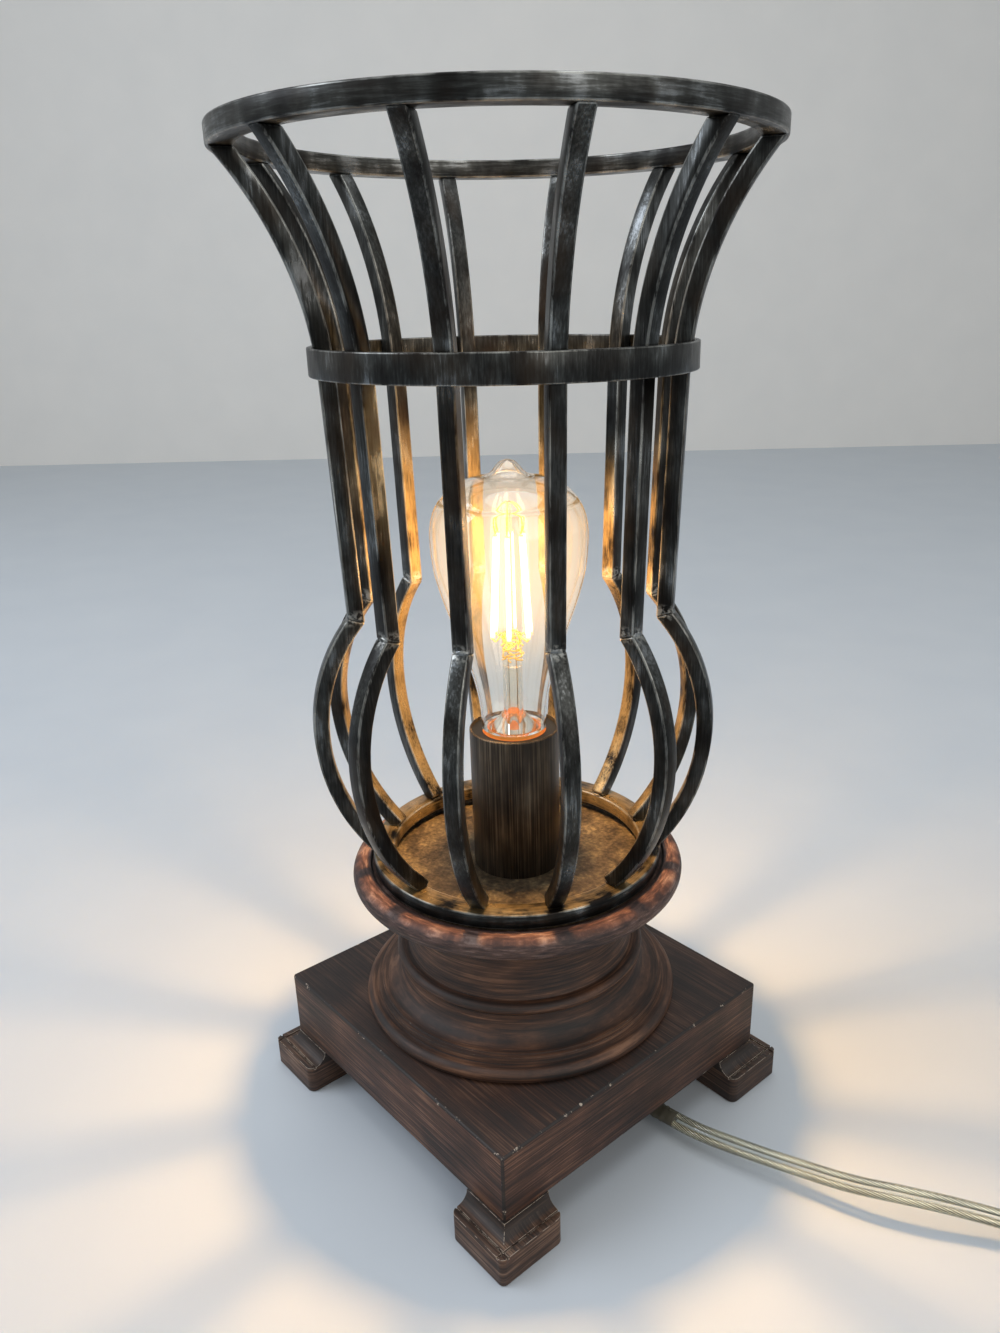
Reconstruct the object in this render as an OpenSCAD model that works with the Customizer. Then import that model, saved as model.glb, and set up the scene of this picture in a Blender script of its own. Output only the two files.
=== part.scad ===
// Cage table lamp: a turned wooden pedestal on a square footed slab carries a cage of
// welded square bar, flared at the top, around a lit clear filament bulb in a tall socket.
// Millimetres, +Z up, origin at the middle of the footprint on the table.

/* [Base] */
// Width of the square slab
slab_w = 157; // [150:1:166]
// Thickness of the slab
slab_t = 33; // [30:1:40]
// Height of the slab's underside above the table
foot_h = 19; // [17:0.5:24]
// How far a foot stands out past the slab
foot_out = 8.9; // [8:0.1:11]
// Length of a foot along each side of the slab
foot_l = 32.5; // [28:0.5:38]
// Width of the flat lip round a foot
lip_t = 2.6; // [2:0.1:3]

/* [Pedestal] */
// Radius of the round bead that lies on the slab
bead_r = 72.3; // [70:0.1:75]
// Height of that bead
bead_h = 6.6; // [6:0.2:8]
// Radius of the small raised bead below the neck
ring_bead_r = 57; // [55.5:0.1:58]
// Radius of the neck at its narrowest
neck_r = 49.6; // [47:0.2:50.4]
// Height of the whole turning
pedestal_h = 61.5; // [58:0.5:68]
// Radius of the rounded cap
cap_r = 74; // [72:0.2:80]
// Thickness of the cap, also the diameter of its round edge
cap_t = 10; // [9:0.5:14]

/* [Cage] */
// Height of the whole lamp
lamp_h = 411.5; // [404:0.5:418]
// Outer radius of the top ring
top_r = 100; // [97:0.5:104]
// Height of the top ring's bar
top_h = 6.9; // [5:0.1:9]
// Radial width of the top and bottom rings' bars
ring_w = 9.5; // [8.5:0.25:11]
// Outer radius of the bottom ring
foot_ring_r = 64.3; // [63.5:0.1:66]
// Height of the bottom ring's bar
foot_ring_h = 6.4; // [5:0.2:8]
// Thickness of the middle band
band_t = 2.2; // [1.6:0.2:3.5]
// Height of the middle band
band_h = 10.2; // [7:0.2:14]
// Height of the middle band's lower edge above the table
band_z = 330.5; // [324:0.5:336]
// Width of the ribs' square bar
rib_w = 6.4; // [5.4:0.1:7]
// Turn of the cage on its base
cage_turn = 3.7; // [0:0.1:14]
// Radius to a rib's outer face where it stands upright below the band
waist_r = 69.9; // [69:0.1:71]
// Radius to a rib's outer face at the welded kink
kink_r = 67; // [65.5:0.1:68]
// Height of the kink
kink_z = 239.3; // [232:0.1:246]
// How far the ribs' outer faces stand in from the top ring's outer face
flare_in = 0.8; // [0.4:0.1:2]
// Radius to a rib's outer face where the belly is widest
belly_r = 84.6; // [82:0.1:88]
// Height of the belly's widest point
belly_z = 191; // [188:0.5:194]
// Radius of curve of the lower belly
belly_curve = 90; // [88:0.5:94]
// Thickness of the sheet-metal pan
pan_t = 1.2; // [0.8:0.1:1.6]
// Depth of the pan below the bottom ring
pan_d = 4.2; // [3:0.1:5]

/* [Socket] */
// Radius of the socket's sleeve
sleeve_r = 19.4; // [18.8:0.1:21]
// Height of the sleeve
sleeve_h = 65; // [62:0.5:68]
// Wall of the sleeve
sleeve_t = 0.8; // [0.5:0.1:1]
// Radius of the threaded pipe that holds the lamp together
pipe_r = 5; // [4.6:0.1:5.5]

/* [Bulb] */
// Radius of the bulb's glass where it is widest
glass_r = 32; // [28:0.5:36]
// Height of the glass above its screw cap
glass_h = 113; // [108:1:118]
// Wall of the glass
glass_t = 0.9; // [0.6:0.1:1.2]
// Radius of the screw cap
thread_r = 13; // [12.4:0.1:13.2]
// Height of the screw cap with its tip
thread_h = 27; // [25:0.5:29]
// Number of glowing filaments
filament_count = 6; // [4:1:8]
// Radius of a filament
filament_r = 0.9; // [0.6:0.1:1.2]

/* [Cord] */
// Width of the flat lamp cord
cord_d = 6.5; // [6:0.1:7]
// Radius from the coil's centre to its outermost turn
coil_r = 48.5; // [48:0.5:50]
// Gap between neighbouring turns of the coil
coil_gap = 0.9; // [0.7:0.1:1.2]
// Radius of the switch's thumb wheel
wheel_r = 10.5; // [10:0.1:11]
// Thickness of the thumb wheel
wheel_t = 4; // [3.4:0.1:4.4]

/* [Hidden] */
$fn = 96;
flare_names = [
    "flare_rib_01", "flare_rib_02", "flare_rib_03", "flare_rib_04", "flare_rib_05", "flare_rib_06",
    "flare_rib_07", "flare_rib_08", "flare_rib_09", "flare_rib_10", "flare_rib_11", "flare_rib_12"];
belly_names = [
    "belly_rib_01", "belly_rib_02", "belly_rib_03", "belly_rib_04", "belly_rib_05", "belly_rib_06",
    "belly_rib_07", "belly_rib_08", "belly_rib_09", "belly_rib_10", "belly_rib_11", "belly_rib_12"];
foot_names = ["foot_1", "foot_2", "foot_3", "foot_4"];
base_names = ["plinth_slab", "pedestal", "cap_disc"];
cage_names = ["cage_pan", "bottom_ring", "mid_band", "top_ring"];
socket_names = ["socket_shell", "socket_core", "screw_shell", "centre_contact", "terminal_screws"];
pipe_names = ["threaded_pipe", "pipe_nuts", "pipe_washer"];
bulb_names = ["bulb_glass", "bulb_cap", "bulb_tip", "glass_stem", "filaments", "filament_wires"];
cord_names = [
    "cord_bushing", "inner_cord", "cord_run", "cord_coil", "cord_tail", "switch_base", "switch_cover",
    "switch_wheel", "cord_lead", "plug_body", "plug_blades"];
rib_count = len(flare_names);

// Clearances and small sizes
fit = 0.3;
running = 0.05;
slit = 0.05;
big = 500;
half = slab_w / 2;
slab_z = foot_h + slab_t;
cap_z = slab_z + pedestal_h;
cap_top = cap_z + cap_t;
ring_z = cap_top - fit;
ring_top = ring_z + foot_ring_h;
pan_floor = ring_z - pan_d;
flange_z = ring_z - pan_t;
top_z = lamp_h - top_h;
socket_top = pan_floor + sleeve_h;

// Foot: corner block with a vertical face, a lip with a quirk inside it, and a cove up to the slab
reach = half + foot_out;
foot_round = 2.4;
foot_end_round = 3.4;
quirk_w = 0.9;
foot_cove = foot_out - lip_t - quirk_w;
face_h = foot_h - foot_cove;

// Turned pedestal
fillet_h = 3.4;
fillet_in = 5.6;
step_in = 7.6;
cove_h = 12;
cove_low = slab_z + bead_h + fillet_h + 0.4;
small_z = cove_low + cove_h;
small_h = 5.4;
neck_low = small_z + small_h;
neck_mid = (neck_low + cap_z) / 2;
neck_curve = 60;
recess_gap = 1.4;

// Rib lines in the plane of radius and height
waist_z = band_z - 2;
lean = atan((waist_r - kink_r) / (waist_z - kink_z));
flare_span = [top_r - flare_in - waist_r, top_z - waist_z];
flare_curve = flare_span * flare_span / (2 * (flare_span.x * cos(lean) - flare_span.y * sin(lean)));
flare_x = waist_r + flare_curve * cos(lean);
flare_y = waist_z - flare_curve * sin(lean);
rise = kink_z - belly_z;
dip = belly_r - kink_r;
upper_curve = (rise * rise + dip * dip) / (2 * dip);
upper_angle = asin(rise / upper_curve);
lower_angle = asin((belly_z - ring_top + rib_w / 3) / belly_curve);
mitre = (upper_angle + lean) / 2 - lean;
band_in = flare_x - sqrt(flare_curve * flare_curve - pow(band_z + band_h - flare_y, 2)) + 0.1;

// Socket and pipe
pipe_bore = 3.6;
pipe_low = foot_h + 11;
pipe_high = pan_floor + 11;
nut_r = 9;
nut_t = 4;
sink_r = 20;
sink_z = pipe_low + 3 + nut_t;
core_r = sleeve_r - sleeve_t - 0.2;
core_z = pan_floor + 18;
core_top = socket_top - 1.4;
shell_t = 0.5;
shell_in = thread_r + fit;
contact_z = socket_top - thread_h;

// Bulb
glass_z = socket_top + 0.4;
cap_wall = 0.5;
ridge = 0.8;
skirt_r = thread_r - ridge - cap_wall - slit;
tip_z = glass_z + glass_h;
wide_z = tip_z - 30.6;
neck_z = glass_z;
glass_neck = thread_r + 0.9;
stem_r = 4.2;
stem_top = glass_z + 43;
fil_low = glass_z + 40.6;
fil_high = glass_z + 83.5;
fil_low_r = 8.6;
fil_high_r = 6;
wire_drop = 1.1;
crown_h = 12;
wire_r = 0.35;

// Cord: route points chosen by hand, from the strain relief to the coil
cord_lift = cord_d / 2;
cord_sides = 8;
coil_sides = 6;
bushing_x = 54;
bushing_y = 20;
bushing_z = 8;
bushing_l = 10;
run_from = [bushing_x + bushing_l - 4, bushing_y, bushing_z];
run_points = [[68, 20, 8], [76, 20.5, 8], [93, 23.5, 8], [115, 30, 9], [136.5, 36.5, 11], [156, 43, 13],
    [173, 52, 14], [189, 62.5, 13], [205, 73, 11], [221, 84, 7.5], [238, 94, 4.4]];
coil_turn = -62;
coil_x = 246;
coil_y = 148;
loops = 6;
loop_rings = 24;
layer = cord_d + coil_gap;
away = [-sin(coil_turn), cos(coil_turn), 0];
aside = [-away.y, away.x, 0];
coil_in = [coil_x + coil_r * cos(coil_turn), coil_y + coil_r * sin(coil_turn), cord_lift];
coil_out = coil_in + [0, 0, layer];
run_to = coil_in - away * cord_d;
tail_from = coil_out + away * cord_d;

// The tail turns left round the coil to the switch, and the lead turns left again to the plug
switch_l = 62;
switch_w = 25;
switch_h = 16;
switch_lift = switch_h / 2;
tail_bend = 33;
lead_bend = 30;
tail_mid = coil_out + away * 38 + aside * tail_bend - [0, 0, cord_lift + layer];
switch_from = tail_mid + away * tail_bend + aside * 2 * cord_d + [0, 0, switch_lift];
switch_mid = switch_from + aside * switch_l / 2;
tail_points = concat([coil_out + away * 22 - [0, 0, 1]], [for (t = [-90 : 22.5 : 0])
    tail_mid + tail_bend * (cos(t) * away + sin(t) * aside) + [0, 0, switch_lift + 1.6 * sin(2 * t)]]);
lead_from = switch_from + aside * switch_l;
lead_mid = lead_from - away * lead_bend + aside * 2 * cord_d - [0, 0, switch_lift];
plug_l = 32;
plug_w = 24;
plug_h = 15;
plug_lift = plug_h / 2;
plug_from = lead_mid + aside * lead_bend - away * 2 * cord_d + [0, 0, plug_lift];
lead_points = [for (t = [0 : 22.5 : 90])
    lead_mid + lead_bend * (cos(t) * away + sin(t) * aside) + [0, 0, cord_lift + 3 * pow(cos(2 * t), 2)]];
blade_l = 17;
blade_w = 6.4;
blade_t = 1.5;
blade_gap = 12.7;
switch_heading = coil_turn + 180;
plug_heading = coil_turn - 90;
axle_r = 1.6;
wheel_y = 4.2;
slot_r = wheel_r + 1;
slot_h = wheel_t + 2 * fit;
teeth = 24;

// Rounding by cutting: a box with its upright corners rounded
module round_box(w, d, h, r) {
    linear_extrude(h) union() {
        square([w - 2 * r, d], center = true);
        square([w, d - 2 * r], center = true);
        for (x = [-1, 1], y = [-1, 1]) translate([x * (w / 2 - r), y * (d / 2 - r)]) circle(r);
    }
}

// One foot at the corner towards +X and -Y, its moulding run along both outer faces
module foot_block() {
    difference() {
        translate([reach - foot_l, -reach, 0]) cube([foot_l, foot_l, foot_h]);
        foot_moulding();
        rotate(90) foot_moulding();
        translate([reach, -reach, 0]) corner_cut(foot_round);
        translate([reach - foot_l, -reach, 0]) mirror([1, 0, 0]) corner_cut(foot_end_round);
        translate([reach, foot_l - reach, 0]) mirror([0, 1, 0]) corner_cut(foot_end_round);
    }
}

// What rounding takes away at an upright edge whose block lies towards -X and +Y
module corner_cut(r) {
    difference() {
        translate([-r, -r, -1]) cube([2 * r, 2 * r, big]);
        translate([-r, r, -2]) cylinder(h = 2 * big, r = r);
    }
}

// What the moulding takes away along the face towards -Y: over the lip, the quirk and the cove
module foot_moulding() {
    length = 2 * big;
    cove_mid = half + foot_cove;
    translate([-big, -reach - 1, face_h]) cube([length, 1 + lip_t, big]);
    translate([-big, -reach + lip_t, face_h - quirk_w]) cube([length, quirk_w, big]);
    translate([-big, -cove_mid, foot_h]) rotate([0, 90, 0]) cylinder(h = length, r = foot_cove);
}

module foot(i) {
    color("#5b463c") rotate(90 * i) foot_block();
}

// Square slab with a sunk round pocket below for the nut
module plinth_slab() {
    color("#57423a") difference() {
        translate([0, 0, foot_h]) linear_extrude(slab_t) square(slab_w, center = true);
        translate([0, 0, foot_h - 1]) cylinder(h = sink_z - foot_h + 1, r = sink_r);
        translate([0, 0, foot_h]) cylinder(h = slab_t + 1, r = pipe_r + fit);
    }
}

// Turned body: bead, fillet, wide cove, small bead and a slightly waisted neck
module pedestal() {
    cove_out = bead_r - step_in;
    cove_in = cove_out - ring_bead_r + 2.4;
    color("#5d463b") difference() {
        rotate_extrude() union() {
            translate([0, slab_z]) square([bead_r - bead_h / 2, bead_h]);
            translate([bead_r - bead_h / 2, slab_z + bead_h / 2]) circle(bead_h / 2);
            translate([0, slab_z + bead_h]) square([bead_r - fillet_in, fillet_h]);
            difference() {
                translate([0, slab_z + bead_h]) square([cove_out, small_z - slab_z - bead_h]);
                translate([cove_out, small_z]) scale([cove_in / cove_h, 1]) circle(cove_h);
            }
            translate([0, small_z]) square([ring_bead_r - small_h / 2, small_h]);
            translate([ring_bead_r - small_h / 2, small_z + small_h / 2]) circle(small_h / 2);
            difference() {
                translate([0, neck_low - 1]) square([neck_r + 6, cap_z - neck_low + 1]);
                translate([neck_r + neck_curve, neck_mid]) circle(neck_curve, $fn = 360);
            }
        }
        translate([0, 0, slab_z - 1]) cylinder(h = pedestal_h + 2, r = pipe_r + fit);
    }
}

// Rounded cap with a stepped recess for the pan and the bottom ring
module cap_disc() {
    color("#6e4c43") difference() {
        rotate_extrude() union() {
            translate([0, cap_z]) square([cap_r - cap_t / 2, cap_t]);
            translate([cap_r - cap_t / 2, cap_z + cap_t / 2]) circle(cap_t / 2);
        }
        translate([0, 0, flange_z]) cylinder(h = big, r = foot_ring_r + recess_gap);
        translate([0, 0, pan_floor - pan_t]) cylinder(h = big, r = foot_ring_r - 3);
        translate([0, 0, cap_z - 1]) cylinder(h = big, r = pipe_r + fit);
    }
}

// Shallow pan: flat flange under the bottom ring, dished floor under the socket
module cage_pan() {
    rim = foot_ring_r - 1;
    wall = foot_ring_r - 3 - fit;
    color("#8a6a3c") rotate_extrude() difference() {
        union() {
            translate([0, pan_floor - pan_t]) square([wall, pan_t]);
            translate([wall - pan_t, pan_floor - pan_t]) square([pan_t, ring_z - pan_floor + pan_t]);
            translate([wall - pan_t, flange_z]) square([rim - wall + pan_t, pan_t]);
        }
        translate([0, pan_floor - pan_t - 1]) square([pipe_r + fit, pan_t + 2]);
    }
}

module bar_ring(r, z, w, h) {
    translate([0, 0, z]) difference() {
        cylinder(h = h, r = r, $fn = 180);
        translate([0, 0, -1]) cylinder(h = h + 2, r = r - w, $fn = 180);
    }
}

module bottom_ring() {
    color("#33332f") bar_ring(foot_ring_r, ring_z, ring_w, foot_ring_h);
}

module mid_band() {
    color("#3a3d3c") bar_ring(band_in + band_t, band_z, band_t, band_h);
}

module top_ring() {
    color("#43484a") bar_ring(top_r, top_z, ring_w, top_h);
}

// Square bar bent to an arc: a slice of a ring between two angles
module arc_bar(x, y, inner, outer, from, to) {
    reach = 3 * outer;
    translate([x, y]) intersection() {
        difference() {
            circle(outer, $fn = 360);
            circle(inner, $fn = 360);
        }
        polygon([
            [0, 0],
            reach * [cos(from), sin(from)],
            reach * [cos((from + to) / 2), sin((from + to) / 2)],
            reach * [cos(to), sin(to)]]);
    }
}

// The half plane above (side 1) or below (side -1) the weld line at the kink
module weld_side(side) {
    translate([kink_r, kink_z]) rotate(mitre) translate([-big / 2, side > 0 ? 0 : -big]) square([big, big]);
}

module flare_line() {
    top_angle = asin((top_z - flare_y) / flare_curve);
    intersection() {
        union() {
            arc_bar(flare_x, flare_y, flare_curve, flare_curve + rib_w, 180 - lean, 180 - top_angle - 6);
            translate([kink_r, kink_z]) rotate(-lean)
                translate([-rib_w, -rib_w]) square([rib_w, rib_w + (waist_z - kink_z) / cos(lean)]);
        }
        weld_side(1);
        translate([0, -big]) square([big, big + top_z]);
    }
}

module belly_line() {
    intersection() {
        union() {
            arc_bar(belly_r - upper_curve, belly_z, upper_curve - rib_w, upper_curve, 0, upper_angle + 8);
            arc_bar(belly_r - belly_curve, belly_z, belly_curve - rib_w, belly_curve, -lower_angle, 0);
        }
        weld_side(-1);
        translate([0, ring_top]) square([big, big]);
    }
}

module rib_place(i) {
    rotate(cage_turn + i * 360 / rib_count) rotate([90, 0, 0]) translate([0, 0, -rib_w / 2])
        linear_extrude(rib_w) children();
}

module flare_rib(i) {
    color("#3f4446") rib_place(i) flare_line();
}

module belly_rib(i) {
    color("#383b3b") rib_place(i) belly_line();
}

// Tall bronze sleeve with a closed foot and a rolled edge at its mouth
module socket_shell() {
    lip = 0.9;
    color("#5e4b34") difference() {
        rotate_extrude() union() {
            translate([0, pan_floor]) square([sleeve_r, sleeve_h - lip]);
            translate([sleeve_r - lip, socket_top - lip]) circle(lip);
        }
        translate([0, 0, pan_floor + sleeve_t]) cylinder(h = big, r = sleeve_r - sleeve_t);
        translate([0, 0, pan_floor - 1]) cylinder(h = 4, r = pipe_r + fit);
    }
}

// Insulating core with the bore for the screw shell and a wire space below
module socket_core() {
    color("#2a2520") difference() {
        translate([0, 0, core_z]) cylinder(h = core_top - core_z, r = core_r);
        translate([0, 0, contact_z - 4]) cylinder(h = big, r = shell_in + shell_t + slit);
        for (y = [-1, 1]) translate([0, y * 15.4, core_z - 1]) cylinder(h = 10, r = 1.5);
        translate([0, 0, core_z - 1]) cylinder(h = 8, r = 2.6);
    }
}

module screw_shell() {
    color("#c98a4b") translate([0, 0, contact_z - 4]) difference() {
        cylinder(h = core_top - contact_z + 3, r = shell_in + shell_t);
        translate([0, 0, shell_t]) cylinder(h = big, r = shell_in);
        translate([0, 0, -1]) cylinder(h = 4, r = 6);
    }
}

module centre_contact() {
    color("#c9a24b") translate([0, 0, contact_z - 4]) union() {
        cylinder(h = 1.4, r = 4.6);
        cylinder(h = 4 - slit, r = 3);
    }
}

module terminal_screws() {
    color("#b9a06a") for (y = [-1, 1]) translate([0, y * 15.4, core_z - 3]) union() {
        cylinder(h = 3, r = 2.6);
        cylinder(h = 10, r = 1.45);
    }
}

module threaded_pipe() {
    color("#a89f86") translate([0, 0, pipe_low]) difference() {
        cylinder(h = pipe_high - pipe_low, r = pipe_r);
        translate([0, 0, -1]) cylinder(h = pipe_high - pipe_low + 2, r = pipe_bore);
    }
}

module pipe_nuts() {
    color("#8f8a7c") for (z = [pipe_low + 1.8, pan_floor + sleeve_t]) translate([0, 0, z]) difference() {
        cylinder(h = nut_t, r = nut_r, $fn = 6);
        translate([0, 0, -1]) cylinder(h = nut_t + 2, r = pipe_r + slit);
    }
}

module pipe_washer() {
    color("#9c9788") translate([0, 0, pipe_low + 1.8 + nut_t]) difference() {
        cylinder(h = sink_z - pipe_low - 1.8 - nut_t, r = 14);
        translate([0, 0, -1]) cylinder(h = 4, r = pipe_r + slit);
    }
}

// Half outline of the glass: long neck, shoulder, flat dome and a small pip
function glass_side(r, z) = [for (t = [0 : 0.1 : 1])
    let(u = 1 - t, a = glass_neck, b = neck_z, c = wide_z - 44, d = wide_z - 24)
    [u * u * u * a + 3 * u * u * t * (a + 3.4) + 3 * u * t * t * r + t * t * t * r,
     u * u * u * b + 3 * u * u * t * c + 3 * u * t * t * d + t * t * t * z]];
function glass_dome(r, z) = [for (t = [9 : 9 : 72]) [r * cos(t), z + 22.5 * sin(t)]];
function pip(z) = [[8.2, z - 8.6], [5.2, z - 5.4], [4, z - 2.6], [2.6, z - 0.8], [0, z]];

module glass_outline(t) {
    polygon(concat([[0, neck_z]], glass_side(glass_r - t, wide_z), glass_dome(glass_r - t, wide_z - t / 2),
        pip(tip_z - t)));
}

module bulb_glass() {
    color([0.95, 0.85, 0.6, 0.4]) rotate_extrude() difference() {
        union() {
            glass_outline(0);
            translate([0, glass_z - 3]) square([skirt_r, 4.5]);
        }
        translate([0, -glass_t]) intersection() {
            translate([-glass_t, 0]) glass_outline(0);
            translate([0, neck_z + 1]) square([big, big]);
        }
        translate([0, glass_z - 4]) square([skirt_r - glass_t, 8]);
    }
}

// Screw cap: rolled thread as five round ridges on a thin shell, narrowed at the bottom
module bulb_cap() {
    color("#c9c7bd") rotate_extrude() difference() {
        union() {
            translate([0, contact_z + 4]) square([thread_r - ridge, glass_z - contact_z - 4 - slit]);
            for (i = [0 : 4]) translate([thread_r - ridge, contact_z + 7.5 + 3.6 * i]) circle(ridge);
            polygon([
                [0, contact_z + 2],
                [8, contact_z + 2],
                [thread_r - ridge, contact_z + 5],
                [0, contact_z + 5]]);
        }
        translate([0, contact_z + 5]) square([thread_r - ridge - cap_wall, big]);
        translate([0, contact_z]) square([5, 8]);
    }
}

module bulb_tip() {
    color("#1f1f1f") rotate_extrude() union() {
        translate([0, contact_z + 1]) square([4.8, 3]);
        translate([0, contact_z + slit]) square([3, 2]);
    }
}

// Flared glass stem with the pinched top that carries the lead-in wires
module glass_stem() {
    flare = skirt_r - glass_t - 3 * slit;
    color([0.9, 0.9, 0.85, 0.5]) rotate_extrude() difference() {
        union() {
            translate([0, glass_z - 2]) square([stem_r, stem_top - glass_z + 2 - 1.5]);
            translate([0, glass_z - 2]) polygon([[0, 0], [flare, 0], [flare, 1], [stem_r, 9], [0, 9]]);
            translate([0, stem_top - 3.3]) scale([1, 0.8]) circle(stem_r);
            translate([0, stem_top - 1]) square([1.1, fil_high - stem_top + crown_h + 2]);
        }
        translate([0, glass_z - 3]) square([2.6, 30]);
        translate([-big, 0]) square([big, 2 * big]);
    }
}

function fil_angle(i) = 12 + 360 * i / filament_count;
function fil_point(i, r, z) = [r * cos(fil_angle(i)), r * sin(fil_angle(i)), z];

// A straight round rod between two points
module rod(a, b, r) {
    v = b - a;
    translate(a) rotate([0, acos(v.z / norm(v)), atan2(v.y, v.x)]) cylinder(h = norm(v), r = r, $fn = 16);
}

module filaments() {
    color("#ffd27a") for (i = [0 : filament_count - 1])
        rod(fil_point(i, fil_low_r, fil_low), fil_point(i, fil_high_r, fil_high), filament_r);
}

// Fine wires that hold the filaments: a fan at the top and one round the stem
module filament_wires() {
    color("#9a8f7a") for (i = [0 : filament_count - 1]) {
        rod(fil_point(i, 1.5, fil_high + crown_h), fil_point(i, fil_high_r - 0.1, fil_high + 0.6), wire_r);
        rod(fil_point(i, 1.8, stem_top + 0.6), fil_point(i, fil_low_r - 0.1, fil_low - wire_drop), wire_r);
    }
}

// Swept tube along points: rings of points, then one closed polyhedron
function unit(v) = v / norm(v);
function tangent(p, i) = unit(p[min(i + 1, len(p) - 1)] - p[max(i - 1, 0)]);
function side(t) = abs(t.z) > 0.95 ? unit(cross(t, [1, 0, 0])) : unit(cross(t, [0, 0, 1]));
function ring(p, i, r, n) = let(t = tangent(p, i), s = side(t), u = cross(s, t))
    [for (k = [0 : n - 1]) p[i] + r * (cos(360 * (k + 0.5) / n) * s + sin(360 * (k + 0.5) / n) * u)];
function tube_points(p, r, n) = [for (i = [0 : len(p) - 1]) each ring(p, i, r, n)];
function tube_faces(m, n) = concat(
    [for (k = [1 : n - 2]) [0, k, k + 1]],
    [for (i = [0 : m - 2], k = [0 : n - 1]) [i * n + k, (i + 1) * n + k, (i + 1) * n + (k + 1) % n]],
    [for (i = [0 : m - 2], k = [0 : n - 1]) [i * n + k, (i + 1) * n + (k + 1) % n, i * n + (k + 1) % n]],
    [for (k = [1 : n - 2]) [(m - 1) * n, (m - 1) * n + k + 1, (m - 1) * n + k]]);

module tube(p, r, n) {
    polyhedron(points = tube_points(p, r, n), faces = tube_faces(len(p), n), convexity = 10);
}

// Smooth curve through the hand-chosen points
function spline(p, i, t) = let(a = p[max(i - 1, 0)], b = p[i], c = p[i + 1], d = p[min(i + 2, len(p) - 1)])
    0.5 * (2 * b + (c - a) * t + (2 * a - 5 * b + 4 * c - d) * t * t + (3 * b - a - 3 * c + d) * t * t * t);
function smooth(p, n) = concat(
    [for (i = [0 : len(p) - 2], k = [0 : n - 1]) spline(p, i, k / n)],
    [p[len(p) - 1]]);

// Strain relief: a small block under the slab, open at both ends for the cord
module cord_bushing() {
    low = bushing_z - cord_d / 2 - 2;
    color("#2b2b2b") difference() {
        translate([bushing_x, bushing_y - 7, low]) cube([bushing_l, 14, foot_h - low]);
        translate([bushing_x - 1, bushing_y, bushing_z]) rotate([0, 90, 0]) cylinder(h = bushing_l, r = 2.4);
        translate([run_from.x, bushing_y, bushing_z]) rotate([0, 90, 0])
            cylinder(h = bushing_l, r = cord_d / 2 + fit);
    }
}

// The cord's cores from the strain relief through the pipe to the socket
module inner_cord() {
    under = [run_from, run_from - [6, 0, 0], [44, 17.5, 8.2], [30, 12, 9.5], [18, 7, 13.5], [8, 3, 20]];
    upright = [for (z = [pipe_low + 7, cap_z, pipe_high - 6, core_z, core_z + 5]) [0, 0, z]];
    points = concat(under, [[1.6, 0.6, pipe_low - 1.5]], upright);
    color("#b8b08e") tube(smooth(points, 3), 2, cord_sides);
}

module cord_run() {
    points = concat([run_from], run_points, [run_to - away * cord_d]);
    color("#b9b6a0") tube(concat(smooth(points, 3), [run_to]), cord_d / 2, cord_sides);
}

// Coil: turns spiral in on the table, climb a layer in the half turn where they reverse, and spiral out
function coil_at(u) = let(
    full = loops * 360,
    in = min(u, full - u),
    ease = min(max((u - full / 2 + 90) / 180, 0), 1),
    lift = ease * ease * (3 - 2 * ease),
    r = coil_r - (cord_d + coil_gap) * in / 360)
    [coil_x + r * cos(coil_turn + u), coil_y + r * sin(coil_turn + u), cord_lift + layer * lift];
coil_steps = loops * loop_rings;
coil_turns = [for (k = [0 : coil_steps]) coil_at(k * 360 / loop_rings)];
coil_start = [run_to, coil_in - away * cord_d / 3];
coil_points = concat(coil_start, coil_turns, [coil_out + away * cord_d / 3, tail_from]);
coil_least = min([for (i = [0 : coil_steps], j = [i + loop_rings / 2 : coil_steps])
    norm(coil_turns[i] - coil_turns[j])]);
echo(coil_gap_to_itself = coil_least - cord_d);

module cord_coil() {
    color("#b9b6a0") tube(coil_points, cord_d / 2, coil_sides);
}

module cord_tail() {
    points = concat([tail_from + away * cord_d], tail_points, [switch_from - aside * cord_d]);
    color("#b9b6a0") tube(concat([tail_from], smooth(points, 3), [switch_from]), cord_d / 2, cord_sides);
}

module cord_lead() {
    points = concat([lead_from + aside * cord_d], lead_points, [plug_from + away * cord_d]);
    color("#b9b6a0") tube(concat([lead_from], smooth(points, 3), [plug_from]), cord_d / 2, cord_sides);
}

function path_length(p, i = 1) = i < len(p) ? norm(p[i] - p[i - 1]) + path_length(p, i + 1) : 0;
cord_length = path_length(concat([run_from], run_points, [run_to])) + path_length(coil_points)
    + path_length(concat([tail_from], tail_points, [switch_from])) + switch_l
    + path_length(concat([lead_from], lead_points, [plug_from]));
echo(cord_length = cord_length);

// Switch: two shells whose halves of a slot hold a thumb wheel on an upright pin
module switch_frame() {
    translate(switch_mid) rotate(switch_heading) children();
}

module switch_slot(h) {
    translate([0, wheel_y, 0]) cylinder(h = h, r = slot_r);
    translate([-slot_r, wheel_y, 0]) cube([2 * slot_r, switch_w, h]);
}

module switch_base() {
    color("#26221e") switch_frame() union() {
        difference() {
            translate([0, 0, -switch_lift]) round_box(switch_l, switch_w, switch_lift - slit, 9);
            translate([0, 0, -slot_h / 2]) switch_slot(switch_h);
        }
        translate([0, wheel_y, -slot_h / 2]) cylinder(h = slot_h, r = axle_r);
    }
}

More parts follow.
